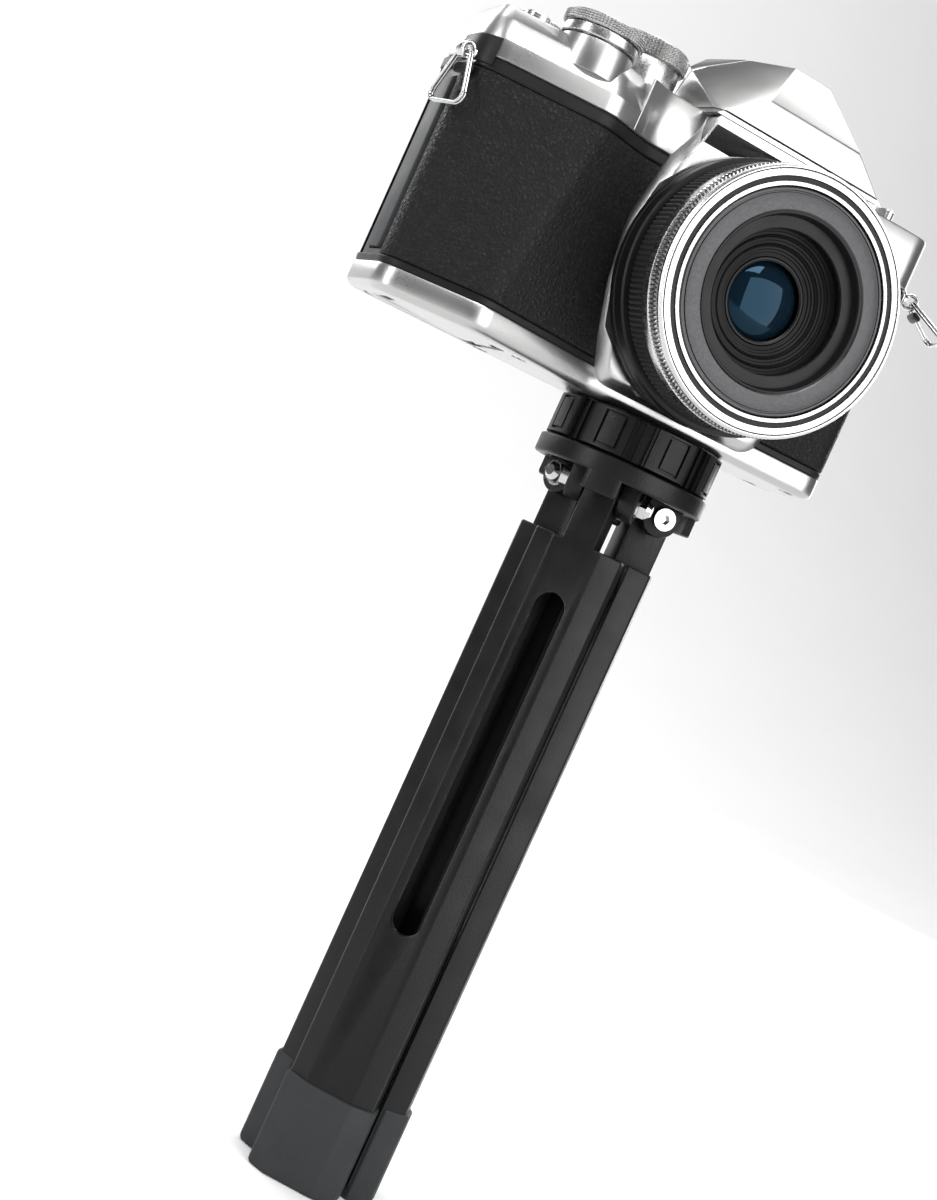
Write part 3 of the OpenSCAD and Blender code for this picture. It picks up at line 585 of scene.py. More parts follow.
def drum(name, centre, r, z0, z1, steps=64):
    """An upright cylinder, for cutting."""
    place_at = upright_place(centre)
    ring = circle(r, steps)
    return loft(name, [[place_at(u, v, z) for u, v in ring] for z in (z0, z1)], BASE)


def lens_drum(name, r, h0, h1):
    """A cylinder on the lens axis, for cutting."""
    ring = circle(r, 128)
    return loft(name, [[lens_place(u, v, h) for u, v in ring] for h in (h0, h1)], BASE)


def wall(name, outline, y0, y1):
    """A flat piece standing up, its (x, z) outline pushed from y0 to y1."""
    return loft(name, [[(x, y, z) for x, z in outline] for y in (y0, y1)], BASE)


def slab(name, outline, z0, z1):
    """A flat piece lying down, its (x, y) outline pushed from z0 to z1."""
    return loft(name, [[(x, y, z) for x, y in outline] for z in (z0, z1)], BASE)


def frame_corners(x, z, r):
    return [(x[0], z[0], r), (x[1], z[0], r), (x[1], z[1], r), (x[0], z[1], r)]


def cut_all(obj, *cutters):
    for cutter in cutters:
        boolean(obj, tidy(cutter, 30))
    return obj


def screw(name, centre, r, face_z):
    """A flat screw head seen from below, with a cross cut in it."""
    depth = 0.35
    head = tidy(lathe(name, [(0.001, face_z + 1), (0.001, face_z + 0.05), (r - 0.2, face_z + 0.05),
                             (r, face_z + 0.25), (r, face_z + 1)], 32, upright_place(centre)))
    for wide, deep in ((r * 0.62, 0.16), (0.16, r * 0.62)):
        boolean(head, tidy(box("cross", (centre[0] - wide, centre[0] + wide),
                               (centre[1] - deep, centre[1] + deep), (face_z - 1, face_z + depth))))
    return tidy(head, 30)


# --------------------------------------------------------------- body shell
def leather_strip(name, path):
    """Leatherette between the two lips, laid along path(z, inset)."""
    low_z, high_z = LIP_LOW + 0.12, LIP_HIGH - 0.12
    rounding = [(0.0, LEATHER_T), (0.0, 0.35), (0.12, 0.14), (0.35, 0.03), (0.7, 0.0)]
    levels = [(low_z + up, inset) for up, inset in rounding]
    levels += [(mix(low_z + 0.7, high_z - 0.7, k / 12), 0.0) for k in range(1, 12)]
    levels += [(high_z - up, inset) for up, inset in reversed(rounding)]
    rings = [[(x, y, z) for x, y in path(z, inset + 0.03)] for z, inset in levels]
    return tidy(loft(name, rings, BASE), 40)


def grip_path(z, inset):
    line = plan(z, inset)[CORNER_POINTS:4 * CORNER_POINTS]
    line.append((max(line[-1][0] + 0.4, 2.5 - housing_half(z)), FRONT_Y + inset))
    return line


def far_path(z, inset):
    line = plan(z, inset)[4 * CORNER_POINTS:5 * CORNER_POINTS]
    return [(housing_half(z) - 2.5, FRONT_Y + inset)] + line + [(FAR_END - inset, 5.9)]


def closed_path(path):
    """Gives a strip its thickness: the outer line there and the inner line back."""
    def both(z, inset):
        outer = path(z, inset)
        inner = path(z, LEATHER_T)
        return outer + inner[::-1]
    return both


def make_leather():
    place(leather_strip("grip_leather", closed_path(grip_path)), "camera", "leatherette", "grip_leather")
    side = leather_strip("side_leather", closed_path(far_path))
    button = low("lens_release_button"), high("lens_release_button")
    centre = ((button[0][0] + button[1][0]) / 2, (button[0][2] + button[1][2]) / 2 - BASE)
    hole = rod("hole", (centre[0], -20, centre[1]), (centre[0], -5, centre[1]), 4.1, 48)
    cut_all(side, hole)
    place(tidy(side, 40), "camera", "leatherette", "side_leather")


def make_body_shell():
    levels = [(PLATE_H + 0.05, 0.35), (PLATE_H + 0.3, 0.08), (LIP_LOW - 0.25, 0.0), (LIP_LOW, 0.22),
              (LIP_LOW, LEATHER_T), (LIP_HIGH, LEATHER_T), (LIP_HIGH, 0.22), (LIP_HIGH + 0.3, 0.0),
              (COVER_Z - 0.55, 0.0), (COVER_Z - 0.2, 0.3), (COVER_Z - 0.05, 0.5)]
    shell = body_loft("body_shell", levels)
    boolean(shell, box("front_part", (-90, 60), (-40, BACK_Y - 2.05), (0, 60)), "INTERSECT")
    throat = lens_drum("throat", THROAT_R, -40, 30)
    cover_low, cover_high = low("port_cover"), high("port_cover")
    port = box("port", (-GRIP_END - 1, -GRIP_END + 2.2), (cover_low[1] - 0.3, cover_high[1] + 0.3),
               (cover_low[2] - BASE - 0.3, cover_high[2] - BASE + 0.3))
    release = middle("lens_release_button")
    bore = rod("bore", (release[0], -20, release[2] - BASE), (release[0], -5, release[2] - BASE), 4.1, 48)
    cut_all(shell, throat, port, bore)
    place(tidy(shell, 30), "camera", "black_body", "body_shell")


def make_bottom_plate():
    levels = [(0.0, 1.5), (0.3, 0.9), (1.1, 0.16), (1.5, 0.0), (PLATE_H - 0.35, 0.0),
              (PLATE_H - 0.08, 0.12), (PLATE_H, 0.3)]
    plate = body_loft("bottom_plate", levels)
    door_low, door_high = low("battery_door"), high("battery_door")
    corners = [(door_low[0] - 0.25, door_low[1] - 0.25, 3.2), (door_high[0] + 0.4, door_low[1] - 0.25, 1),
               (door_high[0] + 0.4, door_high[1] + 0.25, 1), (door_low[0] - 0.25, door_high[1] + 0.25, 3.2)]
    pocket = slab("pocket", rounded(corners, 6), -1, 2.0)
    spots = [(-38.5, 11.5), (36.5, 11.0), (36.0, -7.0), (-37.0, -8.5)]
    cut_all(plate, pocket, drum("bush_hole", (0, 0), 6.02, -1, 7),
            *[drum("screw_hole", spot, 1.75, -1, 0.9, 32) for spot in spots])
    place(tidy(plate, 30), "camera", "silver_body", "bottom_plate")
    heads = [screw("base_screw", spot, 1.6, 0.1) for spot in spots]
    place(join("base_screws", heads), "camera", "chrome_steel")
    thread = section([(3.3, 7), (3.3, 0.6, 0.3), (3.9, 0.02), (6.0, 0.02), (6.0, 7)], 0.12)
    bush = tidy(lathe("tripod_bush", thread, 64, upright_place((0, 0))))
    place(bush, "camera", "chrome_steel", "tripod_bush")


def make_housing():
    """The silver front housing behind the lens, with the shelf under the nameplate."""
    corners = HOUSING_SIDE + [(-x, z, r) for x, z, r in reversed(HOUSING_SIDE)]
    rings = [[(x, y, z) for x, z in rounded(corners, 6, inset)]
             for y, inset in ((FRONT_Y + 0.5, 0.0), (FRONT_Y, 0.0), (FRONT_Y - 0.35, 0.1), (-13.55, 1.85),
                              (-13.85, 2.1), (-14.0, 2.4))]
    housing = tidy(loft("mount_housing", rings, BASE), 30)
    back = FRONT_Y + 0.3
    profile = [(back, 56.0), (-13.9, 56.0), (-14.0, 57.5), (-16.4, 60.9), (-16.75, 61.5), (-16.75, 63.4),
               (back, 63.4)]
    ends = [[(x, min(y + inset, back), z - (inset if z > 63 else 0)) for y, z in profile]
            for x, inset in ((-21.55, 0.5), (-21.2, 0.0), (21.2, 0.0), (21.55, 0.5))]
    shelf = tidy(loft("shelf", ends, BASE), 30)
    boolean(housing, shelf, "UNION")
    cut_all(housing, lens_drum("throat", THROAT_R, 0, 40), lens_drum("seat", 29.7, 12.6, 40))
    place(tidy(housing, 28), "camera", "silver_body", "mount_housing")


# ---------------------------------------------------------------- top cover
def hull_of(name, points):
    bm = bmesh.new()
    for x, y, z in points:
        bm.verts.new((x * MM, y * MM, (z + BASE) * MM))
    bmesh.ops.convex_hull(bm, input=bm.verts)
    bmesh.ops.dissolve_limit(bm, angle_limit=math.radians(1), verts=bm.verts, edges=bm.edges)
    mesh = bpy.data.meshes.new(name)
    bm.to_mesh(mesh)
    bm.free()
    obj = bpy.data.objects.new(name, mesh)
    bpy.context.scene.collection.objects.link(obj)
    return obj


def slice_off(obj, point, normal):
    """Keeps the side of a plane that the normal points away from, and closes the cut."""
    bm = bmesh.new()
    bm.from_mesh(obj.data)
    where = Vector((point[0] * MM, point[1] * MM, (point[2] + BASE) * MM))
    cut = bmesh.ops.bisect_plane(bm, geom=bm.verts[:] + bm.edges[:] + bm.faces[:], plane_co=where,
                                 plane_no=normal, clear_outer=True)
    edges = [e for e in cut["geom_cut"] if isinstance(e, bmesh.types.BMEdge)]
    bmesh.ops.contextual_create(bm, geom=edges)
    bmesh.ops.recalc_face_normals(bm, faces=bm.faces)
    bm.to_mesh(obj.data)
    bm.free()
    return obj


HUMP_SIDE = [(22.4, -16.8, 63.6), (15.8, -17.0, 66.3), (12.3, -17.0, 71.3), (4.8, -6.0, 83.35),
             (10.7, 7.5, 83.35), (13.2, 21.9, 83.35), (15.2, 15.1, 80.0), (21.9, 8.5, 76.0),
             (19.0, 21.9, 76.0), (24.5, 4.0, 63.9), (22.0, 21.9, 63.9)]
FLASH_Y, FLASH_Z = 6.2, 64.8


def hump_points():
    return [(side * x, y, z) for x, y, z in HUMP_SIDE for side in (-1, 1)]


def make_flash():
    unit = slice_off(hull_of("flash_unit", hump_points()), (0, FLASH_Y, 0), (0, 1, 0))
    slice_off(unit, (0, 0, FLASH_Z), (0, 0, -1))
    bevel(unit, 0.3, 3, 14)
    lamp_low, lamp_high = low("flash_window"), high("flash_window")
    well = box("well", (lamp_low[0] - 0.6, lamp_high[0] + 0.6), (lamp_low[1] - 0.6, lamp_high[1] + 0.6),
               (FLASH_Z - 1, FLASH_Z + 1.6))
    cut_all(unit, well)
    place(tidy(unit, 24), "flash_unit", "silver_body", "flash_unit")
    window = box("flash_window", (lamp_low[0], lamp_high[0]), (lamp_low[1], lamp_high[1]),
                 (FLASH_Z + 0.2, FLASH_Z + 1.5))
    place(bevel(window, 0.25), "flash_unit", "flash_glass", "flash_window")


def cover_levels(outline):
    """Rings of the chamfered grip end of the top cover."""
    steps = ((COVER_Z, 0.35), (COVER_Z + 0.25, 0.06), (COVER_Z + 0.5, 0.0), (56.2, 0.0), (56.5, 0.06),
             (60.7, 1.75), (61.1, 2.0), (63.6, 4.1), (63.85, 4.4), (DECK_H, 4.9))
    rings = []
    for z, inset in steps:
        leaning = [(x - END_LEAN * inset if x == -GRIP_END else x, y, r) for x, y, r in outline]
        rings.append([(x, y, z) for x, y in rounded(leaning, STEPS, inset)])
    return rings


def make_top_cover():
    grip_outline = [(-GRIP_END, BACK_Y, 7.0), (-GRIP_END, CORNER_HIGH, 7.5),
                    (RIDGE_HIGH[0], RIDGE_HIGH[1] - 0.25, 7.0),
                    (-34.0, -12.6, 0.3), (-30.0, BACK_Y, 0.3)]
    cover = tidy(loft("top_cover", cover_levels(grip_outline), BASE), 24)
    main_outline = [(-37.0, BACK_Y, 0.3), (-37.0, -14.05, 0.3), (-31.0, FRONT_Y, 9.0),
                    (FAR_END, FRONT_Y, 5.5), (FAR_END, BACK_Y, 5.0)]
    rings = [[(x, y, z) for x, y in rounded(main_outline, STEPS, inset)]
             for z, inset in ((COVER_Z, 0.35), (COVER_Z + 0.25, 0.06), (COVER_Z + 0.5, 0.0),
                              (DECK_H - 0.45, 0.0), (DECK_H - 0.1, 0.15), (DECK_H, 0.5))]
    boolean(cover, tidy(loft("deck", rings, BASE), 24), "UNION")
    rear = bevel(slice_off(hull_of("hump_rear", hump_points()), (0, FLASH_Y + 0.3, 0), (0, -1, 0)), 0.3,
                 3, 14)
    base = slice_off(hull_of("hump_base", hump_points()), (0, 0, FLASH_Z - 0.3), (0, 0, 1))
    boolean(cover, tidy(base, 24), "UNION")
    boolean(cover, tidy(rear, 24), "UNION")
    dial = middle("front_dial")
    boss = lathe("boss",
                 section([(0.001, 58), (8.0, 58), (8.0, 64.6), (6.9, 64.6), (6.9, 69.0), (0.001, 69.0)],
                         0.18), 72, upright_place(dial))
    boolean(cover, tidy(boss, 30), "UNION")
    well = drum("shutter_well", dial, 6.0, 65.0, 90)
    shoe_pocket = box("shoe_pocket", (-10.75, 10.75), (7.55, 40), (79.6, 90))
    tunnel = box("tunnel", (-10.5, 10.5), (13, 40), (65.5, 76.5))
    seats = [drum("seat", middle(node), r, DECK_H - 0.35, DECK_H + 20)
             for node, r in (("mode_dial", 8.9), ("rear_dial", 7.8))]
    record = drum("record_seat", middle("record_button"), 3.3, 58, 90, 48)
    cut_all(cover, well, shoe_pocket, tunnel, record, *seats)
    place(tidy(cover, 24), "camera", "silver_body", "top_cover")


# ------------------------------------------------------------------ knurls
def pyramid_skin(across, r_low, r_high, lows, highs):
    """Rings of a pyramid knurl: level rings at lows, zigzag rings of tips at highs."""
    rings = []
    for at in sorted(list(lows) + list(highs)):
        tip = at in highs
        ring = []
        for i in range(2 * across):
            a = math.pi * i / across
            r = r_high if tip and i % 2 == 0 else r_low
            ring.append((r * math.cos(a), r * math.sin(a), at))
        rings.append(ring)
    return rings


def knurled(name, place_at, across, rows, h0, h1, r_low, r_high, bore, inset=0.35):
    """A ring with rows of pyramids round it and a plain bore."""
    lows = [mix(h0 + inset, h1 - inset, k / rows) for k in range(rows + 1)]
    highs = [(a + b) / 2 for a, b in zip(lows, lows[1:])]
    rings = pyramid_skin(across, r_low, r_high, lows, highs)
    n = 2 * across

    def plain(r, h):
        return [(r * math.cos(2 * math.pi * i / n), r * math.sin(2 * math.pi * i / n), h) for i in range(n)]

    rings = [plain(bore, h0), plain(r_low - 0.3, h0), plain(r_low, h0 + 0.25)] + rings
    rings += [plain(r_low, h1 - 0.25), plain(r_low - 0.3, h1), plain(bore, h1)]
    verts = [place_at(*p) for ring in rings for p in ring]
    faces = []
    count = len(rings)
    for k in range(count):
        m = (k + 1) % count
        for i in range(n):
            j = (i + 1) % n
            faces.append((k * n + i, k * n + j, m * n + j, m * n + i))
    return tidy(mesh_object(name, verts, faces, BASE), 20)


def toothed(name, place_at, teeth, h0, h1, r_low, r_high, bore):
    """A ring with fine straight teeth along its axis."""
    def profile(step):
        r = r_high if step % 4 in (1, 2) else r_low
        return [(bore, h0), (r_low - 0.15, h0), (r, h0 + 0.3), (r, h1 - 0.3), (r_low - 0.15, h1),
                (bore, h1)]
    return spun(name, profile, teeth * 4, place_at, 20)


# -------------------------------------------------------------------- lens
BASE_R = 29.4
SLEEVE_R = 25.45


def make_lens_barrel():
    base = section([(17.4, 6), (20.8, 6), (20.8, 14.5), (28.6, 14.5), (29.4, 15.3), (29.4, 16.9),
                    (29.05, 17.1), (29.05, 17.5), (29.4, 17.7), (29.4, 20.9), (29.0, 21.35),
                    (SLEEVE_R, 21.35), (SLEEVE_R, 34.6), (24.05, 34.6), (24.05, 16.3), (17.4, 16.3)], 0.1,
                   2)
    place(spun("lens_barrel", base, 160, lens_place), "camera", "lens_black", "lens_barrel")
    ring = section([(BASE_R - 2.1, 12.65), (BASE_R - 2.1, 14.25), (21.45, 14.25), (21.45, 12.65)], 0.15, 2)
    place(spun("mount_ring", ring, 128, lens_place), "camera", "chrome_steel", "mount_ring")
    glass = section([(0.001, 8), (17.3, 8), (17.3, 9.5), (12, 10.6), (0.001, 11)], 0.1, 2)
    place(spun("rear_lens", glass, 96, lens_place, 60), "camera", "lens_glass", "rear_lens")


def make_zoom_ring():
    """Rocker ring: rows of small pyramids between plain edges."""
    ring = knurled("zoom_ring", lens_place, 156, 6, 21.75, 28.25, 28.0, 28.55, SLEEVE_R + 0.1, 0.4)
    place(ring, "zoom_ring", "lens_black", "zoom_ring")


def make_focus_ring():
    """Smooth bright band, then a band of fine teeth."""
    band = section([(SLEEVE_R + 0.1, 28.65), (27.9, 28.65), (28.25, 28.95), (28.25, 31.2), (27.9, 31.45),
                    (SLEEVE_R + 0.1, 31.45)], 0.1, 2)
    smooth = spun("focus_band", band, 160, lens_place)
    teeth = toothed("focus_teeth", lens_place, 190, 31.45, 34.35, 27.65, 28.25, SLEEVE_R + 0.1)
    place(smooth, "focus_ring", "lens_silver", "focus_ring")
    place(teeth, "focus_ring", "focus_knurl")


def make_front_bezel():
    top = LENS_FRONT
    rim = section([(23.62, 34.75), (27.9, 34.75), (28.0, 35.1), (28.0, 35.75), (27.45, top),
                   (27.2, top, 0.04), (27.2, 35.35, 0.02), (26.95, 35.35, 0.02), (26.95, top, 0.04),
                   (25.6, top, 0.06), (25.5, 35.35, 0.02), (24.55, 35.35, 0.02), (24.45, top, 0.06),
                   (23.62, top, 0.1)], 0.1, 2)
    place(spun("front_bezel", rim, 192, lens_place, 24), "camera", "lens_silver", "front_bezel")
    fills = []
    for r0, r1 in ((24.57, 25.48), (26.97, 27.18)):
        fill = section([(r0, 35.36), (r1, 35.36), (r1, 36.05), (r0, 36.05)], 0.01, 1)
        fills.append(spun("fill", fill, 160, lens_place, 24))
    place(join("bezel_grooves", fills), "camera", "lens_black")


def make_inner_barrel():
    """Sliding barrel: grey name ring, filter thread and the dark step behind it."""
    face = LENS_FRONT - 0.2
    thread = []
    for k in range(5):
        h = face - 0.25 - k * 0.5
        thread += [(18.52, h, 0.01), (18.85, h - 0.25, 0.01)]
    outer = [(21.05, 17.1), (23.45, 17.1), (23.45, face - 0.3), (23.1, face), (22.7, face, 0.05),
             (22.6, face - 0.3, 0.05), (22.35, face - 0.3, 0.05), (22.25, face, 0.05), (18.9, face, 0.1)]
    barrel = outer + thread + [(18.55, face - 3.0), (15.15, face - 3.0), (15.15, 31.3), (21.05, 31.3)]
    place(spun("inner_barrel", section(barrel, 0.06, 2), 160, lens_place, 24), "inner_barrel",
          "lens_face", "inner_barrel")
    throat = section([(18.5, face - 0.25), (18.5, face - 2.95), (15.2, face - 2.95), (15.2, face - 2.6),
                      (17.6, face - 2.5), (17.9, face - 0.6), (18.1, face - 0.25)], 0.03, 1)
    place(spun("filter_well", throat, 160, lens_place, 24), "inner_barrel", "lens_black")


def make_baffle():
    """Dark cone with fine anti-glare steps down to the glass."""
    steps = 9
    cone = []
    for k in range(steps):
        r0, r1 = mix(15.1, 9.6, k / steps), mix(15.1, 9.6, (k + 1) / steps)
        h0, h1 = mix(31.1, 28.4, k / steps), mix(31.1, 28.4, (k + 1) / steps)
        cone += [(r0, h0, 0.02), (r0 - 0.12, h1 + 0.02, 0.02)]
        if k in (2, 5):
            cone += [(r1 + 0.25, h1 + 0.22, 0.02)]
    profile = [(9.15, 24.1), (20.9, 24.1), (20.9, 31.1)] + cone + [(9.3, 28.3), (9.15, 28.0)]
    place(spun("lens_baffle", section(profile, 0.04, 1), 160, lens_place, 16), "inner_barrel",
          "lens_cone", "lens_baffle")
    glass = [(0.001, 24.2), (9.0, 24.2), (9.0, 25.3)]
    for k in range(1, 15):
        a = math.pi / 2 * k / 14
        glass.append((9.0 * math.cos(a), 25.3 + 3.2 * math.sin(a)))
    place(spun("front_lens", [(max(r, 0.001), h) for r, h in glass], 96, lens_place, 40),
          "inner_barrel", "lens_glass", "front_lens")
    iris = section([(8.3, 28.15), (8.9, 27.75), (9.05, 28.0), (9.05, 28.35), (8.7, 28.4)], 0.03, 1)
    place(spun("glass_rim", iris, 96, lens_place), "inner_barrel", "lens_black")


# ------------------------------------------------------------------- dials
def dial_mark(name, centre, a, r0, r1, wide, z):
    """A short raised mark on a dial's top."""
    direction = Vector((math.cos(a), math.sin(a)))
    side = Vector((-direction.y, direction.x)) * wide / 2
    points = [Vector(centre[:2]) + direction * r + side * s
              for r, s in ((r0, -1), (r1, -1), (r1, 1), (r0, 1))]
    return slab(name, [tuple(p) for p in points], z, z + 0.06)


def make_front_dial():
    centre = middle("front_dial")
    at = upright_place(centre)
    collar = section([(6.97, 64.95), (8.1, 64.95), (8.3, 65.2), (8.3, 66.9), (8.05, 67.2), (6.97, 67.2)],
                     0.12, 2)
    rim = knurled("front_dial", at, 72, 4, 67.25, 69.65, 8.75, 9.15, 6.97, 0.2)
    place(rim, "front_dial", "dial_knurl", "front_dial")
    place(spun("dial_collar", collar, 96, at), "front_dial", "silver_dials")
    button = section([(0.001, 55.1), (1.95, 55.1), (1.95, 66.5), (5.65, 66.5), (5.65, 69.5),
                      (5.1, 70.3, 0.5), (3.6, 70.42, 1.0), (0.001, 70.05, 0.5)], 0.12, 4)
    place(spun("shutter_button", button, 72, at, 34), "shutter_button", "silver_dials", "shutter_button")


def make_mode_dial():
    centre = middle("mode_dial")
    at = upright_place(centre)
    base = section([(0.001, 64.35), (8.3, 64.35), (8.3, 65.1), (8.15, 65.25), (8.15, 65.45), (8.3, 65.6),
                    (8.3, 70.9), (0.001, 70.9)], 0.1, 2)
    place(spun("mode_drum", base, 96, at), "mode_dial", "silver_dials", "mode_dial")
    rim = knurled("mode_rim", at, 74, 5, 70.9, 74.9, 8.95, 9.38, 7.2, 0.3)
    place(rim, "mode_dial", "dial_knurl")
    cap = section([(0.001, 71), (8.0, 71), (8.0, 75.0), (7.3, 75.15), (6.9, 74.95), (0.001, 74.85)], 0.08,
                  2)
    place(spun("mode_cap", cap, 96, at, 24), "mode_dial", "silver_dials")
    marks = [dial_mark("mark", centre, 2 * math.pi * k / 9, 4.6, 6.0 if k % 3 else 6.3, 0.55, 74.86)
             for k in range(9)]
    place(join("mode_marks", marks), "mode_dial", "lens_black")


def make_rear_dial():
    centre = middle("rear_dial")
    at = upright_place(centre)
    base = section([(0.001, 64.35), (6.55, 64.35), (6.55, 64.95), (0.001, 64.95)], 0.12, 2)
    place(spun("rear_hub", base, 72, at), "rear_dial", "silver_dials", "rear_dial")
    rim = knurled("rear_rim", at, 60, 3, 64.92, 67.12, 7.0, 7.38, 5.4, 0.2)
    place(rim, "rear_dial", "dial_knurl")
    cap = section([(0.001, 65.0), (6.0, 65.0), (6.0, 67.05), (5.2, 67.18), (4.8, 67.05), (0.001, 67.0)],
                  0.08, 2)
    place(spun("rear_cap", cap, 72, at, 24), "rear_dial", "silver_dials")


POWER_LEVER = (30.0, 3.0)
POWER_LEVER_TURN = 17


def make_top_controls():
    centre = middle("record_button")
    at = upright_place(centre)
    button = section([(0.001, 61.3), (2.95, 61.3), (2.95, 65.0), (2.6, 65.35, 0.3), (0.001, 65.2)], 0.12, 3)
    place(spun("record_button", button, 48, at), "record_button", "silver_dials", "record_button")
    dot = section([(0.001, 65.2), (0.75, 65.22), (0.7, 65.34), (0.001, 65.36)], 0.02, 1)
    place(spun("record_dot", dot, 24, at), "record_button", "red_mark")
    centre = POWER_LEVER
    at = upright_place(centre)
    hub = section([(0.001, 58.1), (2.45, 58.1), (2.45, 64.35), (4.95, 64.35), (4.95, 66.4),
                   (4.5, 66.85, 0.3), (3.6, 66.85), (3.4, 66.6), (0.001, 66.6)], 0.12, 3)
    place(spun("power_hub", hub, 64, at), "power_lever", "silver_dials", "power_lever")
    turn = math.radians(POWER_LEVER_TURN)
    corners = [(-1.4, -8.4, 1.3), (1.4, -8.4, 1.3), (1.4, -2.5, 0.1), (-1.4, -2.5, 0.1)]
    finger = []
    for z, inset in ((64.35, 0.3), (64.6, 0.05), (67.2, 0.05), (67.6, 0.4)):
        ring = [(centre[0] + x * math.cos(turn) - y * math.sin(turn),
                 centre[1] + x * math.sin(turn) + y * math.cos(turn), z)
                for x, y in rounded(corners, 4, inset)]
        finger.append(ring)
    place(tidy(loft("power_finger", finger, BASE), 30), "power_lever", "silver_dials")


def make_lens_release():
    box_low, box_high = low("lens_release_button"), high("lens_release_button")
    x, z = (box_low[0] + box_high[0]) / 2, (box_low[2] + box_high[2]) / 2 - BASE

    def at(u, v, h):
        return (x + u, -h, z + v)

    button = section([(0.001, 8.1), (3.75, 8.1), (3.75, 12.4), (3.3, 12.78, 0.3), (0.001, 12.5)], 0.12, 3)
    place(spun("lens_release_button", button, 56, at), "lens_release_button", "silver_dials",
          "lens_release_button")


# ------------------------------------------------------------------ tripod
LEG_TURNS = {"a": -5.0, "b": 115.0, "c": 235.0}
LEG_TOP = BASE - 30.0
PIVOT_R, PIVOT_Z = 10.0, BASE - 17.5
PANEL_R = 14.8
SLOT_W, SLOT_LOW, SLOT_HIGH = 7.0, 60.5, BASE - 42.0
FOOT_H = 22.5


def leg_place(letter):
    a = math.radians(LEG_TURNS[letter])
    return lambda u, v, z: (u * math.cos(a) - v * math.sin(a), u * math.sin(a) + v * math.cos(a), z)


def leg_section(inset=0.0):
    """Channel section of a leg, as (outward, sideways) points."""
    corners = [(6.6, -10.3, 0.3), (12.4, -10.3, 1.0), (PANEL_R, -5.6, 1.5), (PANEL_R, 5.6, 1.5),
               (12.4, 10.3, 1.0), (6.6, 10.3, 0.3), (6.6, 8.7, 0.3), (11.6, 8.7, 0.4), (13.2, 4.8, 0.8),
               (13.2, -4.8, 0.8), (11.6, -8.7, 0.4), (6.6, -8.7, 0.3)]
    return rounded(corners, 4, inset)


def soft_prism(name, at, corners, v0, v1, soft=0.35, steps=4):
    rings = [[at(u, v, z) for u, z in rounded(corners, steps, inset)]
             for v, inset in ((v0, soft), (v0 + soft * 0.3, soft * 0.3), (v0 + soft, 0.0),
                              (v1 - soft, 0.0), (v1 - soft * 0.3, soft * 0.3), (v1, soft))]
    return tidy(loft(name, rings, 0.0), 40)


def make_leg(letter):
    at = leg_place(letter)
    rings = [[at(u, v, z) for u, v in leg_section(inset)]
             for z, inset in ((3.1, 0.0), (LEG_TOP - 0.5, 0.0), (LEG_TOP - 0.15, 0.12), (LEG_TOP, 0.35))]
    leg = tidy(loft("leg_" + letter, rings, 0.0), 40)
    neck = soft_prism("neck", at, [(PIVOT_R - 4.75, LEG_TOP - 7, 0.3), (PANEL_R, LEG_TOP - 7, 0.3),
                                   (PANEL_R, PIVOT_Z + 4.75, 4.7), (PIVOT_R - 4.75, PIVOT_Z + 4.75, 4.7)],
                      -3.75, 3.75, 0.5, 8)
    boolean(leg, neck, "UNION")
    half = SLOT_W / 2
    corners = [(-half, SLOT_LOW, half - 0.01), (half, SLOT_LOW, half - 0.01),
               (half, SLOT_HIGH, half - 0.01), (-half, SLOT_HIGH, half - 0.01)]
    rings = [[at(u, v, z) for v, z in rounded(corners, 10, grow)]
             for u, grow in ((11.0, 0.0), (PANEL_R - 0.5, 0.0), (PANEL_R - 0.12, -0.14),
                             (PANEL_R + 0.05, -0.5), (PANEL_R + 2, -0.5))]
    cut_all(leg, loft("slot", rings, 0.0))
    bore = rod("bore", at(PIVOT_R, -8, PIVOT_Z), at(PIVOT_R, 8, PIVOT_Z), 1.55, 32, 0.0)
    cut_all(leg, bore)
    place(tidy(leg, 38), "leg_" + letter, "tripod_black", "leg_" + letter)


def foot_section(inset):
    corners = [(PANEL_R + 0.75, -6.0, 1.8), (PANEL_R + 0.75, 6.0, 1.8), (13.15, 10.8, 1.4),
               (7.5, 10.8, 0.8), (1.1, 0.45, 0.4), (1.1, -0.45, 0.4), (7.5, -10.8, 0.8),
               (13.15, -10.8, 1.4)]
    return rounded(corners, 5, inset)


def make_foot(letter):
    at = leg_place(letter)
    rings = [[at(u, v, z) for u, v in foot_section(inset)]
             for z, inset in ((0.0, 0.9), (0.15, 0.5), (0.6, 0.14), (1.2, 0.0), (FOOT_H - 0.7, 0.0),
                              (FOOT_H - 0.2, 0.15), (FOOT_H, 0.45))]
    foot = tidy(loft("foot_" + letter, rings, 0.0), 40)
    outer = rounded([(6.4, -10.25, 0.2), (12.4, -10.25, 0.9), (PANEL_R - 0.02, -5.6, 1.5),
                     (PANEL_R - 0.02, 5.6, 1.5), (12.4, 10.25, 0.9), (6.4, 10.25, 0.2)], 4)
    well = loft("well", [[at(u, v, z) for u, v in outer] for z in (3.0, FOOT_H + 1)], 0.0)
    inner = loft("inner", [[at(u, v, z) for u, v in ((0.2, -9.0), (8.0, -9.0), (8.0, 9.0), (0.2, 9.0))]
                           for z in (3.0, FOOT_H + 1)], 0.0)
    cut_all(foot, well, inner)
    place(tidy(foot, 38), "leg_" + letter, "foot_rubber", "foot_" + letter)


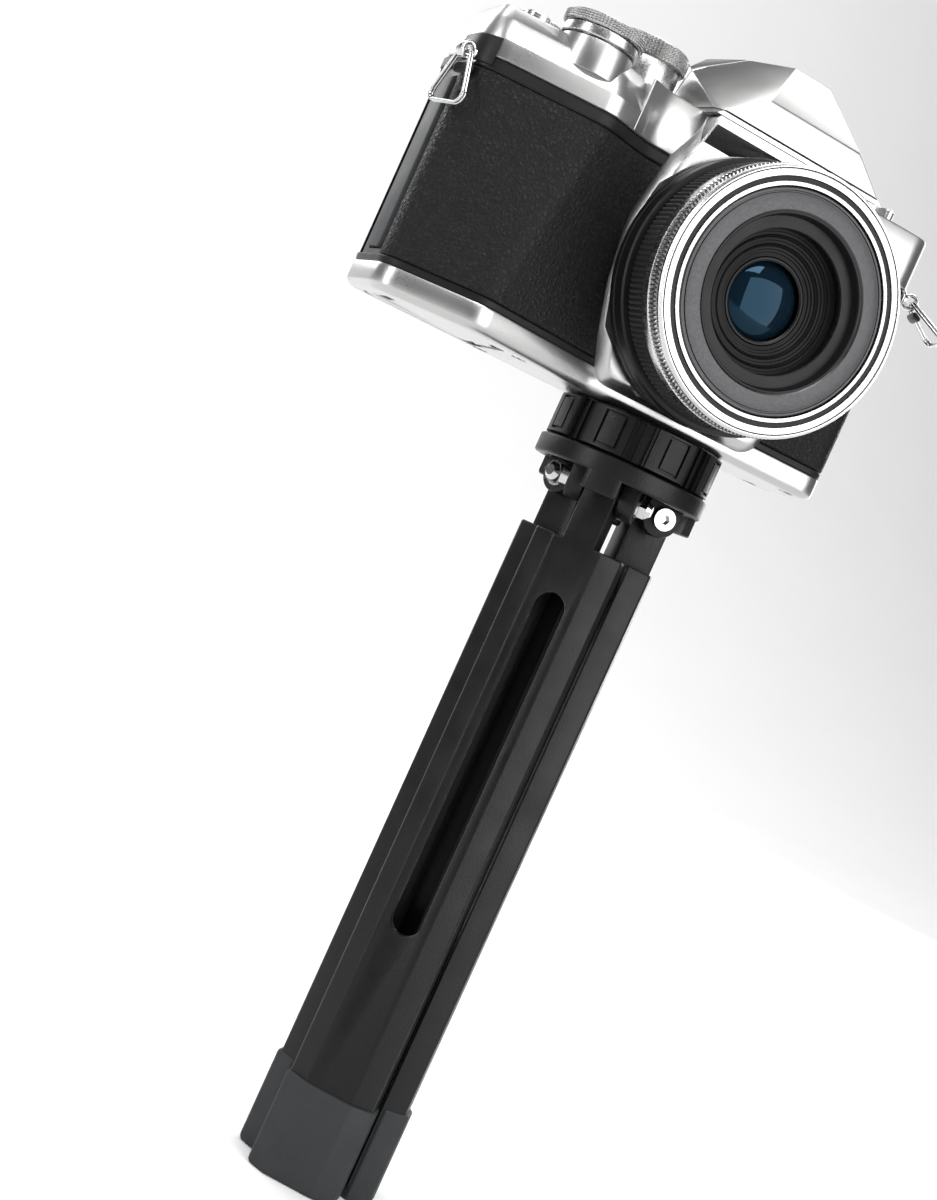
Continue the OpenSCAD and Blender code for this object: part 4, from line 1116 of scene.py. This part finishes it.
def make_bolt(letter):
    """Socket screw through a hinge, with washer and domed nut."""
    leg_at = leg_place(letter)

    def at(u, v, h):
        return leg_at(PIVOT_R + u, h, PIVOT_Z + v)

    end = 8.1
    shank = section([(0.001, -end), (1.45, -end), (1.45, end), (0.001, end)], 0.1, 1)
    rod_part = tidy(lathe("bolt", shank, 32, at, 0.0))
    head = tidy(lathe("head", section([(0.001, -end), (2.3, -end), (2.3, -9.75, 0.25), (1.75, -10.05, 0.1),
                                       (1.55, -9.9, 0.05), (0.001, -9.9)], 0.08, 3), 48, at, 0.0), 30)
    hexagon = [(1.4 * math.cos(math.pi * k / 3), 1.4 * math.sin(math.pi * k / 3)) for k in range(6)]
    socket = loft("socket", [[at(u, v, h) for u, v in hexagon] for h in (-11, -8.8)], 0.0)
    cut_all(head, socket)
    disc = section([(1.5, end), (2.95, end), (2.95, end + 0.5), (1.5, end + 0.5)], 0.1, 2)
    washer = tidy(lathe("washer", disc, 48, at, 0.0), 30)
    nut_ring = [(2.55 * math.cos(math.pi * k / 3), 2.55 * math.sin(math.pi * k / 3)) for k in range(6)]
    nut = tidy(loft("nut", [[at(u * s, v * s, h) for u, v in nut_ring]
                            for h, s in ((end + 0.55, 0.94), (end + 0.7, 1.0), (end + 1.9, 1.0),
                                         (end + 2.1, 0.93))], 0.0), 30)
    dome = tidy(lathe("dome", [(0.001, end + 1.9)] + [(1.95 * math.cos(a), end + 2.0 + 1.05 * math.sin(a))
                                                       for a in (math.pi / 2 * k / 8 for k in range(8))] +
                      [(0.001, end + 3.05)], 40, at, 0.0), 50)
    place(join("hinge_bolt_" + letter, [rod_part, head, washer, nut, dome]), "tripod_head", "chrome_steel")


def make_crown():
    """Hub under the wheel: plate, skirt, three tabs, and the ears of the hinges."""
    at = upright_place((0, 0))
    plate = spun("crown",
                 section([(4.5, -12.25), (16.6, -12.3), (16.6, -14.65), (19.7, -14.7), (20.0, -14.3),
                          (20.0, -10.6, 0.3), (19.4, -10.25), (12.0, -10.25), (12.0, -2.25), (3.3, -2.25),
                          (3.3, -8.0), (4.5, -9.0)], 0.12, 3), 144, at)
    pieces = [plate]
    for letter in LEG_TURNS:
        leg_at = leg_place(letter)
        spread = math.asin(4.15 / 20.0)
        steps = 12
        rings = []
        for k in range(steps + 1):
            a = mix(-spread, spread, k / steps)
            edge = 0.25 if k in (0, steps) else 0.0
            r_in, r_out, tip_z = 17.95 + edge * 0.4, 19.97 - edge, -18.8 + edge
            corners = [(r_in, -14.4, 0.05), (r_out, -14.4, 0.05), (r_out, tip_z, 0.5), (r_in, tip_z, 0.2)]
            ring = [leg_at(r * math.cos(a), r * math.sin(a), z + BASE) for r, z in rounded(corners, 3)]
            rings.append(ring)
        pieces.append(tidy(loft("tab", rings, 0.0), 40))
        for side in (-1, 1):
            inner, outer = 4.12 * side, 8.08 * side
            lower, upper = min(inner, outer), max(inner, outer)
            ear = soft_prism("ear", leg_at,
                             [(PIVOT_R - 4.35, PIVOT_Z - 4.35, 4.3),
                              (PIVOT_R + 4.35, PIVOT_Z - 4.35, 4.3), (PIVOT_R + 4.35, BASE - 12.0, 0.1),
                              (PIVOT_R - 4.35, BASE - 12.0, 0.1)], lower, upper, 0.35, 7)
            pieces.append(ear)
    hub = section([(0.001, -22.9), (3.9, -22.9), (4.35, -22.4), (4.35, -12.2), (0.001, -12.2)], 0.2, 3)
    pieces.append(spun("hub", hub, 64, at))
    place(join("crown", pieces), "tripod_head", "tripod_black", "crown")
    shaft = section([(0.001, -8.5), (3.15, -8.5), (3.15, 4.4), (2.7, 4.9), (0.001, 4.9)], 0.05, 1)
    flange = section([(3.2, -2.15), (5.55, -2.15), (5.55, -0.1), (3.2, -0.1)], 0.12, 2)
    screw_parts = [spun("screw_shaft", shaft, 48, at), spun("flange", flange, 64, at)]
    place(join("camera_screw", screw_parts), "tripod_head", "chrome_steel", "camera_screw")


WHEEL_BLOCKS = 8
WHEEL_R = 19.4


def wheel_radius(s, z):
    """Radius of the lock wheel's skin; s is the distance from a block's middle, in millimetres."""
    pitch = 2 * math.pi * WHEEL_R / WHEEL_BLOCKS
    block, step, rib = 4.9, 5.65, pitch / 2 - 0.3
    if z > -0.8 or z < -9.75:
        return WHEEL_R - 0.75
    if abs(s) > rib:
        return WHEEL_R - 0.85
    if abs(s) > step:
        return WHEEL_R - 1.5
    if abs(s) > block:
        return WHEEL_R - 0.6
    across, up = abs(s - 0.5), abs(z + 5.2)
    inside_outer = across < 2.65 and up < 3.85
    inside_inner = across < 2.15 and up < 3.35
    return WHEEL_R - 0.65 if inside_outer and not inside_inner else WHEEL_R


def make_lock_wheel():
    pitch = 2 * math.pi * WHEEL_R / WHEEL_BLOCKS
    edges = [-pitch / 2 + 0.3, -5.65, -4.9, -2.15, -1.65, 2.65, 3.15, 4.9, 5.65, pitch / 2 - 0.3]
    soft = 0.07
    marks = sorted([e - soft for e in edges] + [e + soft for e in edges] + [-pitch / 2, -3.5, -0.6, 0.5,
                                                                            1.6, 4.0])
    heights = [-10.0, -9.8, -9.7, -9.1, -9.0, -8.6, -8.5, -5.2, -1.9, -1.8, -1.4, -1.3, -0.85, -0.75, -0.35]
    rings = []
    for z in heights:
        ring = []
        for block in range(WHEEL_BLOCKS):
            for s in marks:
                a = (block * pitch + s) / WHEEL_R
                r = wheel_radius(s, z) - (0.35 if z in (heights[0], heights[-1]) else 0.0)
                ring.append((r * math.cos(a), r * math.sin(a), z))
        rings.append(ring)
    wheel = tidy(loft("lock_wheel", rings, BASE), 24)
    well = drum("well", (0, 0), 12.06, -12, -1.7, 96)
    hole = drum("hole", (0, 0), 6.0, -12, 2, 64)
    cut_all(wheel, well, hole)
    place(tidy(wheel, 24), "lock_wheel", "tripod_black", "lock_wheel")


# -------------------------------------------------------------- back pieces
ARM_EAR_X = 14.4
ARM_PIN_LOW, ARM_PIN_HIGH = (16.1, 6.6), (16.7, 50.7)


def make_rear_cover():
    levels = [(PLATE_H + 0.05, 0.3), (PLATE_H + 0.3, 0.05), (PLATE_H + 0.5, 0.0), (COVER_Z - 0.5, 0.0),
              (COVER_Z - 0.3, 0.05), (COVER_Z - 0.05, 0.3)]
    cover = body_loft("rear_cover", levels)
    boolean(cover, box("back_half", (-90, 60), (BACK_Y - 1.97, 30), (0, 60)), "INTERSECT")
    rest = []
    for h, inset in ((-0.5, -0.6), (0.0, -0.6), (0.5, -0.05), (1.5, 0.25), (2.0, 0.6), (2.17, 1.2)):
        y = BACK_Y + h
        rest.append([(x, y, z) for x, z in rounded(frame_corners((-67.7, -57.5), (46.3, 51.3), 2.3), 6,
                                                   inset)])
    boolean(cover, tidy(loft("thumb_rest", rest, BASE), 30), "UNION")
    pad = middle("arrow_pad")
    holes = [back_drum("pad_hole", pad, 10.2, 12, 20, 72)]
    for name in ("menu", "info", "play", "delete"):
        holes.append(back_drum("hole", middle(name + "_button"), 3.1, 12, 20, 48))
    cut_all(cover, *holes)
    place(tidy(cover, 30), "camera", "black_body", "rear_cover")
    for side in (-1, 1):
        x = ARM_EAR_X * side
        outline = [(x - 1.35, 5.75), (x + 1.35, 5.75), (x + 1.35, 7.45), (x - 1.35, 7.45)]
        post = tidy(wall("arm_ear", outline, 14.5, 16.1), 30)
        eye = rod("eye", (x - 1.38, *ARM_PIN_LOW), (x + 1.38, *ARM_PIN_LOW), 0.88, 32)
        place(join("arm_ear", [post, tidy(eye, 30)]), "camera", "black_body")


def back_drum(name, centre, r, y0, y1, steps=48):
    ring = circle(r, steps)
    return loft(name, [[(centre[0] + u, y, centre[2] + v - BASE) for u, v in ring] for y in (y0, y1)], BASE)


def back_place(centre):
    return lambda u, v, h: (centre[0] + u, BACK_Y + h, centre[2] - BASE + v)


def make_back_buttons():
    for name in ("menu", "info", "play", "delete"):
        node = name + "_button"
        cap = section([(0.001, -1.95), (2.75, -1.95), (2.75, 0.45), (2.35, 0.78, 0.4), (0.001, 0.7)],
                      0.12, 3)
        place(spun(node, cap, 40, back_place(middle(node)), 34), node, "black_buttons", node)
    centre = middle("ok_button")
    cap = section([(0.001, -1.95), (3.95, -1.95), (3.95, 0.8), (3.5, 1.08, 0.4), (0.001, 0.85)], 0.12, 3)
    place(spun("ok_button", cap, 56, back_place(centre), 34), "ok_button", "black_buttons", "ok_button")
    pad = section([(4.35, -1.95), (9.85, -1.95), (9.85, 0.75), (9.3, 1.18, 0.4), (7.0, 0.95, 1.0),
                   (4.6, 0.95, 0.2), (4.35, 0.6)], 0.12, 3)
    place(spun("arrow_pad", pad, 96, back_place(centre), 34), "arrow_pad", "black_buttons", "arrow_pad")
    arrows = []
    for k in range(4):
        a = math.pi / 2 * k
        points = [(8.3, 0.0), (7.2, 0.75), (7.2, -0.75)]
        at = back_place(centre)
        ring = [(r * math.cos(a) - s * math.sin(a), r * math.sin(a) + s * math.cos(a)) for r, s in points]
        arrows.append(loft("arrow", [[at(u, v, h) for u, v in ring] for h in (0.85, 1.1)], BASE))
    place(tidy(join("pad_arrows", arrows), 30), "arrow_pad", "white_print")


def make_screen():
    box_low, box_high = low("screen_panel"), high("screen_panel")
    x, z = (box_low[0] + 0.03, box_high[0] - 0.03), (5.23, 51.57)
    y0, y1 = 16.95, 20.38
    rings = [[(px, y, pz) for px, pz in rounded(frame_corners(x, z, 3.0), 7, inset)]
             for y, inset in ((y0, 0.5), (y0 + 0.15, 0.15), (y0 + 0.5, 0.0), (y1 - 0.6, 0.0),
                              (y1 - 0.2, 0.12), (y1, 0.5))]
    panel = tidy(loft("screen_panel", rings, BASE), 30)
    window = rounded(frame_corners((x[0] + 3.2, x[1] - 3.2), (z[0] + 3.2, z[1] - 3.2), 1.2), 5)
    knuckle = [box("arm_room", (-17, 17), (16, 17.35), (4, 7.9))]
    hinge_room = rod("hinge_room", (-13.0, 16.7, 50.7), (13.0, 16.7, 50.7), 1.1, 32)
    cut_all(panel, wall("window", window, y1 - 0.75, y1 + 2), hinge_room, *knuckle)
    place(tidy(panel, 30), "screen", "black_body", "screen_panel")
    for side in (-1, 1):
        x_mid = ARM_EAR_X * side
        eye = rod("screen_knuckle", (x_mid - 1.38, *ARM_PIN_HIGH), (x_mid + 1.38, *ARM_PIN_HIGH), 0.88, 32)
        place(tidy(eye, 30), "screen", "black_body")
    glass = wall("screen_glass",
                 rounded(frame_corners((x[0] + 3.3, x[1] - 3.3), (z[0] + 3.3, z[1] - 3.3), 1.1), 5),
                 y1 - 0.73, y1 - 0.05)
    place(bevel(glass, 0.12, 2), "screen", "screen_glass", "screen_glass")


def make_screen_arm():
    inner = 12.85
    arm = wall("screen_arm", rounded(frame_corners((-inner, inner), (6.7, 50.1), 0.6), 3), 15.52, 16.45)
    opening = rounded(frame_corners((-inner + 4, inner - 4), (12, 44), 2.5), 6)
    arm = bevel(cut_all(tidy(arm, 30), wall("opening", opening, 10, 20)), 0.15, 2, 40)
    pieces = [arm]
    for y, z in ((16.1, 6.6), (16.7, 50.7)):
        pieces.append(tidy(rod("barrel", (-inner, y, z), (inner, y, z), 0.7, 28), 30))
        pieces.append(tidy(rod("pin", (-15.75, y, z), (15.75, y, z), 0.44, 20), 30))
    place(join("screen_arm", pieces), "screen_arm", "chrome_steel", "screen_arm")


def make_finder():
    mouth = []
    profile = ((22.1, 15.4, 14.0, 3.0), (23.9, 15.4, 14.0, 3.0), (24.1, 17.2, 16.2, 4.0),
               (24.6, 17.45, 16.55, 4.1), (27.3, 17.45, 16.55, 4.1), (27.95, 17.0, 16.0, 4.0),
               (28.17, 16.2, 15.0, 3.6), (28.1, 14.2, 12.4, 3.2), (27.4, 12.0, 10.9, 2.6),
               (26.0, 10.9, 10.9, 2.3), (22.1, 10.6, 11.0, 2.0))
    centre_z = 71.7
    for y, wide, tall, r in profile:
        half_z = tall / 2
        corners = frame_corners((-wide, wide), (centre_z - half_z, centre_z + half_z), r)
        mouth.append([(x, y, z) for x, z in rounded(corners, 7)])
    n = len(mouth[0])
    verts = [p for ring in mouth for p in ring]
    faces = []
    for k in range(len(mouth)):
        m = (k + 1) % len(mouth)
        for i in range(n):
            j = (i + 1) % n
            faces.append((k * n + i, k * n + j, m * n + j, m * n + i))
    place(tidy(mesh_object("eyecup", verts, faces, BASE), 40), "camera", "soft_rubber", "eyecup")
    pane = wall("evf_window", rounded(frame_corners((-10.45, 10.45), (65.55, 76.45), 0.8), 3), 20.25, 21.15)
    place(bevel(pane, 0.15, 2), "camera", "screen_glass", "evf_window")
    liner = wall("finder_liner", rounded(frame_corners((-10.45, 10.45), (65.55, 76.45), 0.3), 2), 13.2,
                 20.2)
    eye = wall("eye_opening", rounded(frame_corners((-7.5, 7.5), (66.6, 75.4), 1.0), 4), 13.0, 21)
    place(tidy(cut_all(tidy(liner, 30), eye), 30), "camera", "black_body")


def make_hot_shoe():
    profile = [(-10.65, 79.65, 0.1), (10.65, 79.65, 0.1), (10.65, 83.38, 0.35), (6.65, 83.38, 0.15),
               (6.65, 82.55, 0.15), (9.3, 82.55, 0.1), (9.3, 80.4, 0.1), (-9.3, 80.4, 0.1),
               (-9.3, 82.55, 0.1), (-6.65, 82.55, 0.15), (-6.65, 83.38, 0.15), (-10.65, 83.38, 0.35)]
    shoe = tidy(wall("hot_shoe", rounded(profile, 3), 8.9, 21.85), 30)
    stop = tidy(wall("shoe_stop", rounded(frame_corners((-10.65, 10.65), (79.65, 83.38), 0.3), 3), 7.65,
                     9.0), 30)
    boolean(shoe, stop, "UNION")
    place(tidy(shoe, 30), "camera", "chrome_steel", "hot_shoe")
    contacts = []
    for x, y in ((0, 15.0), (-3.4, 12.6), (3.4, 12.6), (-5.6, 17.4), (5.6, 17.4)):
        r = 1.0 if x == 0 else 0.7
        dot = section([(0.001, 80.3), (r, 80.3), (r - 0.1, 80.52), (0.001, 80.56)], 0.04, 2)
        contacts.append(spun("contact", dot, 28, upright_place((x, y))))
    place(join("shoe_contacts", contacts), "camera", "gold_contact")


# ------------------------------------------------------------------- straps
def lug_frames():
    """For each side: body, ring nodes, the eye's place, the outward direction, and the lean."""
    rows = []
    for side, base, turn, lean in (("grip_side", (-71.9, -6.2, 51.5), 196.0, 0.0),
                                   ("far_side", (43.3, -4.5, 51.4), -20.0, -58.0)):
        a = math.radians(turn)
        out = Vector((math.cos(a), math.sin(a), 0))
        rows.append((side, Vector(base), out, math.radians(lean)))
    return rows


LUG_REACH = 2.7


def ring_place(eye, out, lean):
    """Local (outward, sideways, up) to the world, leaned about the eye's own axis."""
    side = Vector((-out.y, out.x, 0))
    up = Vector((0, 0, 1))

    def at(x, y, z):
        u = x * math.cos(lean) + z * math.sin(lean)
        w = -x * math.sin(lean) + z * math.cos(lean)
        return tuple(eye + out * u + side * y + up * w)
    return at


def tube_path(name, points, r, steps=12):
    """A closed loop of round wire through points, as a swept mesh."""
    count = len(points)
    rings = []
    for i, point in enumerate(points):
        p = Vector(point)
        before = Vector(points[i - 1])
        after = Vector(points[(i + 1) % count])
        axis = (after - before).normalized()
        side = axis.cross(Vector((0.31, 0.67, 0.67))).normalized()
        up = side.cross(axis)
        rings.append([tuple(p + (side * math.cos(t) + up * math.sin(t)) * r) for t in
                      (2 * math.pi * k / steps for k in range(steps))])
    n = steps
    verts = [p for ring in rings for p in ring]
    faces = []
    for k in range(count):
        m = (k + 1) % count
        for i in range(n):
            j = (i + 1) % n
            faces.append((k * n + i, k * n + j, m * n + j, m * n + i))
    return tidy(mesh_object(name, verts, faces, BASE), 50)


def make_straps():
    lugs = []
    for side, base, out, lean in lug_frames():
        eye = base + out * LUG_REACH
        at = ring_place(eye, out, lean)
        upright = ring_place(eye, out, 0.0)

        def axial(u, v, h):
            return upright(h - LUG_REACH, u, v)

        post = section([(0.001, -3.8), (1.65, -3.8), (1.65, 0.3), (2.3, 0.35), (2.3, 0.7, 0.3), (1.65, 1.0),
                        (1.5, 1.6), (0.001, 1.6)], 0.1, 3)
        lugs.append(spun("post", post, 40, axial))

        def across(u, v, h):
            return upright(u, h, v)

        eyelet = section([(1.12, -1.15), (2.05, -1.15), (2.05, 1.15), (1.12, 1.15)], 0.35, 4)
        lugs.append(spun("eyelet", eyelet, 40, across, 40))
        wires = []
        for shift in (-0.34, 0.34):
            corners = [(-2.2, -0.4, 0.7), (2.2, -0.4, 0.7), (6.6, -11.4, 1.9), (-6.6, -11.4, 1.9)]
            outline = rounded(corners, 7)
            wires.append(tube_path("wire", [at(shift, y, z) for y, z in outline], 0.33, 12))
        place(join("strap_ring_" + side, wires), "strap_ring_" + side, "chrome_steel", "strap_ring_" + side)
        guard = []
        for x, inset in ((-1.62, 0.35), (-1.45, 0.1), (-1.3, 0.0), (-0.95, 0.0), (-0.75, 0.12),
                         (-0.68, 0.3)):
            outline = rounded([(-3.55, -4.6, 1.0), (3.55, -4.6, 1.0), (3.0, -2.32, 0.6),
                               (-3.0, -2.32, 0.6)], 5, inset)
            guard.append([at(x, y, z) for y, z in outline])
        cover = tidy(loft("ring_cover_" + side, guard, BASE), 40)
        place(cover, "strap_ring_" + side, "black_body", "ring_cover_" + side)
    place(join("strap_lugs", lugs), "camera", "chrome_steel", "strap_lugs")


def pad_line(z, inset):
    """The line of the grip-side guard, from the end face round the corner."""
    return [(-GRIP_END + inset, 0.6)] + plan(z, inset)[CORNER_POINTS:2 * CORNER_POINTS - 2]


def make_lug_pad():
    """Black guard on the body round the grip side's lug."""
    rings = []
    for z, inset in ((50.2, -0.1), (50.4, -0.35), (50.8, -0.45), (55.6, -0.45), (56.0, -0.35),
                     (56.2, -0.1)):
        line = pad_line(z, inset) + pad_line(z, 0.3)[::-1]
        rings.append([(x, y, z) for x, y in line])
    place(tidy(loft("lug_pad", rings, BASE), 34), "camera", "black_body")


# -------------------------------------------------------------------- doors
def make_doors():
    x, y = (low("battery_door")[0] + 0.05, -43.05), (-8.95, 11.45)
    rings = [[(px, py, z) for px, py in rounded(frame_corners(x, y, 2.9), 6, inset)]
             for z, inset in ((0.08, 0.35), (0.25, 0.08), (0.5, 0.0), (1.35, 0.0))]
    door = tidy(loft("battery_door", rings, BASE), 30)
    catch = slab("catch_slot", rounded(frame_corners((-67.1, -64.3), (-1.5, 4.0), 0.8), 4), -1, 0.5)
    cut_all(door, catch)
    hinge = tidy(rod("door_hinge", (-41.6, -3, 0.75), (-41.6, 7, 0.75), 0.58, 24), 30)
    leaf = tidy(box("leaf", (-45, -41.6), (-2.9, 6.9), (0.3, 1.3)), 30)
    place(join("battery_door", [door, hinge, leaf]), "battery_door", "silver_body", "battery_door")
    latch = slab("catch", rounded(frame_corners((-66.9, -64.5), (-0.6, 3.8), 0.7), 4), 0.12, 0.5)
    ridges = [slab("ridge", [(-66.6, k), (-64.8, k), (-64.8, k + 0.25), (-66.6, k + 0.25)], 0.06, 0.3)
              for k in (0.0, 0.7, 1.4, 2.1, 2.8)]
    place(join("door_catch", [bevel(latch, 0.1, 2)] + ridges), "battery_door", "black_buttons")
    cover_low, cover_high = low("port_cover"), high("port_cover")
    outline = frame_corners((cover_low[1], cover_high[1]), (cover_low[2] - BASE, cover_high[2] - BASE), 1.0)
    rings = [[(-GRIP_END + depth, py, pz) for py, pz in rounded(outline, 5, inset)]
             for depth, inset in ((0.03, 0.35), (0.18, 0.08), (0.4, 0.0), (1.18, 0.0))]
    place(tidy(loft("port_cover", rings, BASE), 34), "port_cover", "soft_rubber", "port_cover")


PIECES = (make_leather, make_body_shell, make_bottom_plate, make_housing, make_flash, make_top_cover,
          make_lens_barrel, make_zoom_ring, make_focus_ring, make_front_bezel, make_inner_barrel,
          make_baffle, make_front_dial, make_mode_dial, make_rear_dial, make_top_controls,
          make_lens_release, make_crown, make_lock_wheel, make_rear_cover, make_back_buttons, make_screen,
          make_screen_arm, make_finder, make_hot_shoe, make_straps, make_lug_pad, make_doors)

for letter in LEG_TURNS:
    make_leg(letter)
    make_foot(letter)
    make_bolt(letter)
for make in PIECES:
    make()
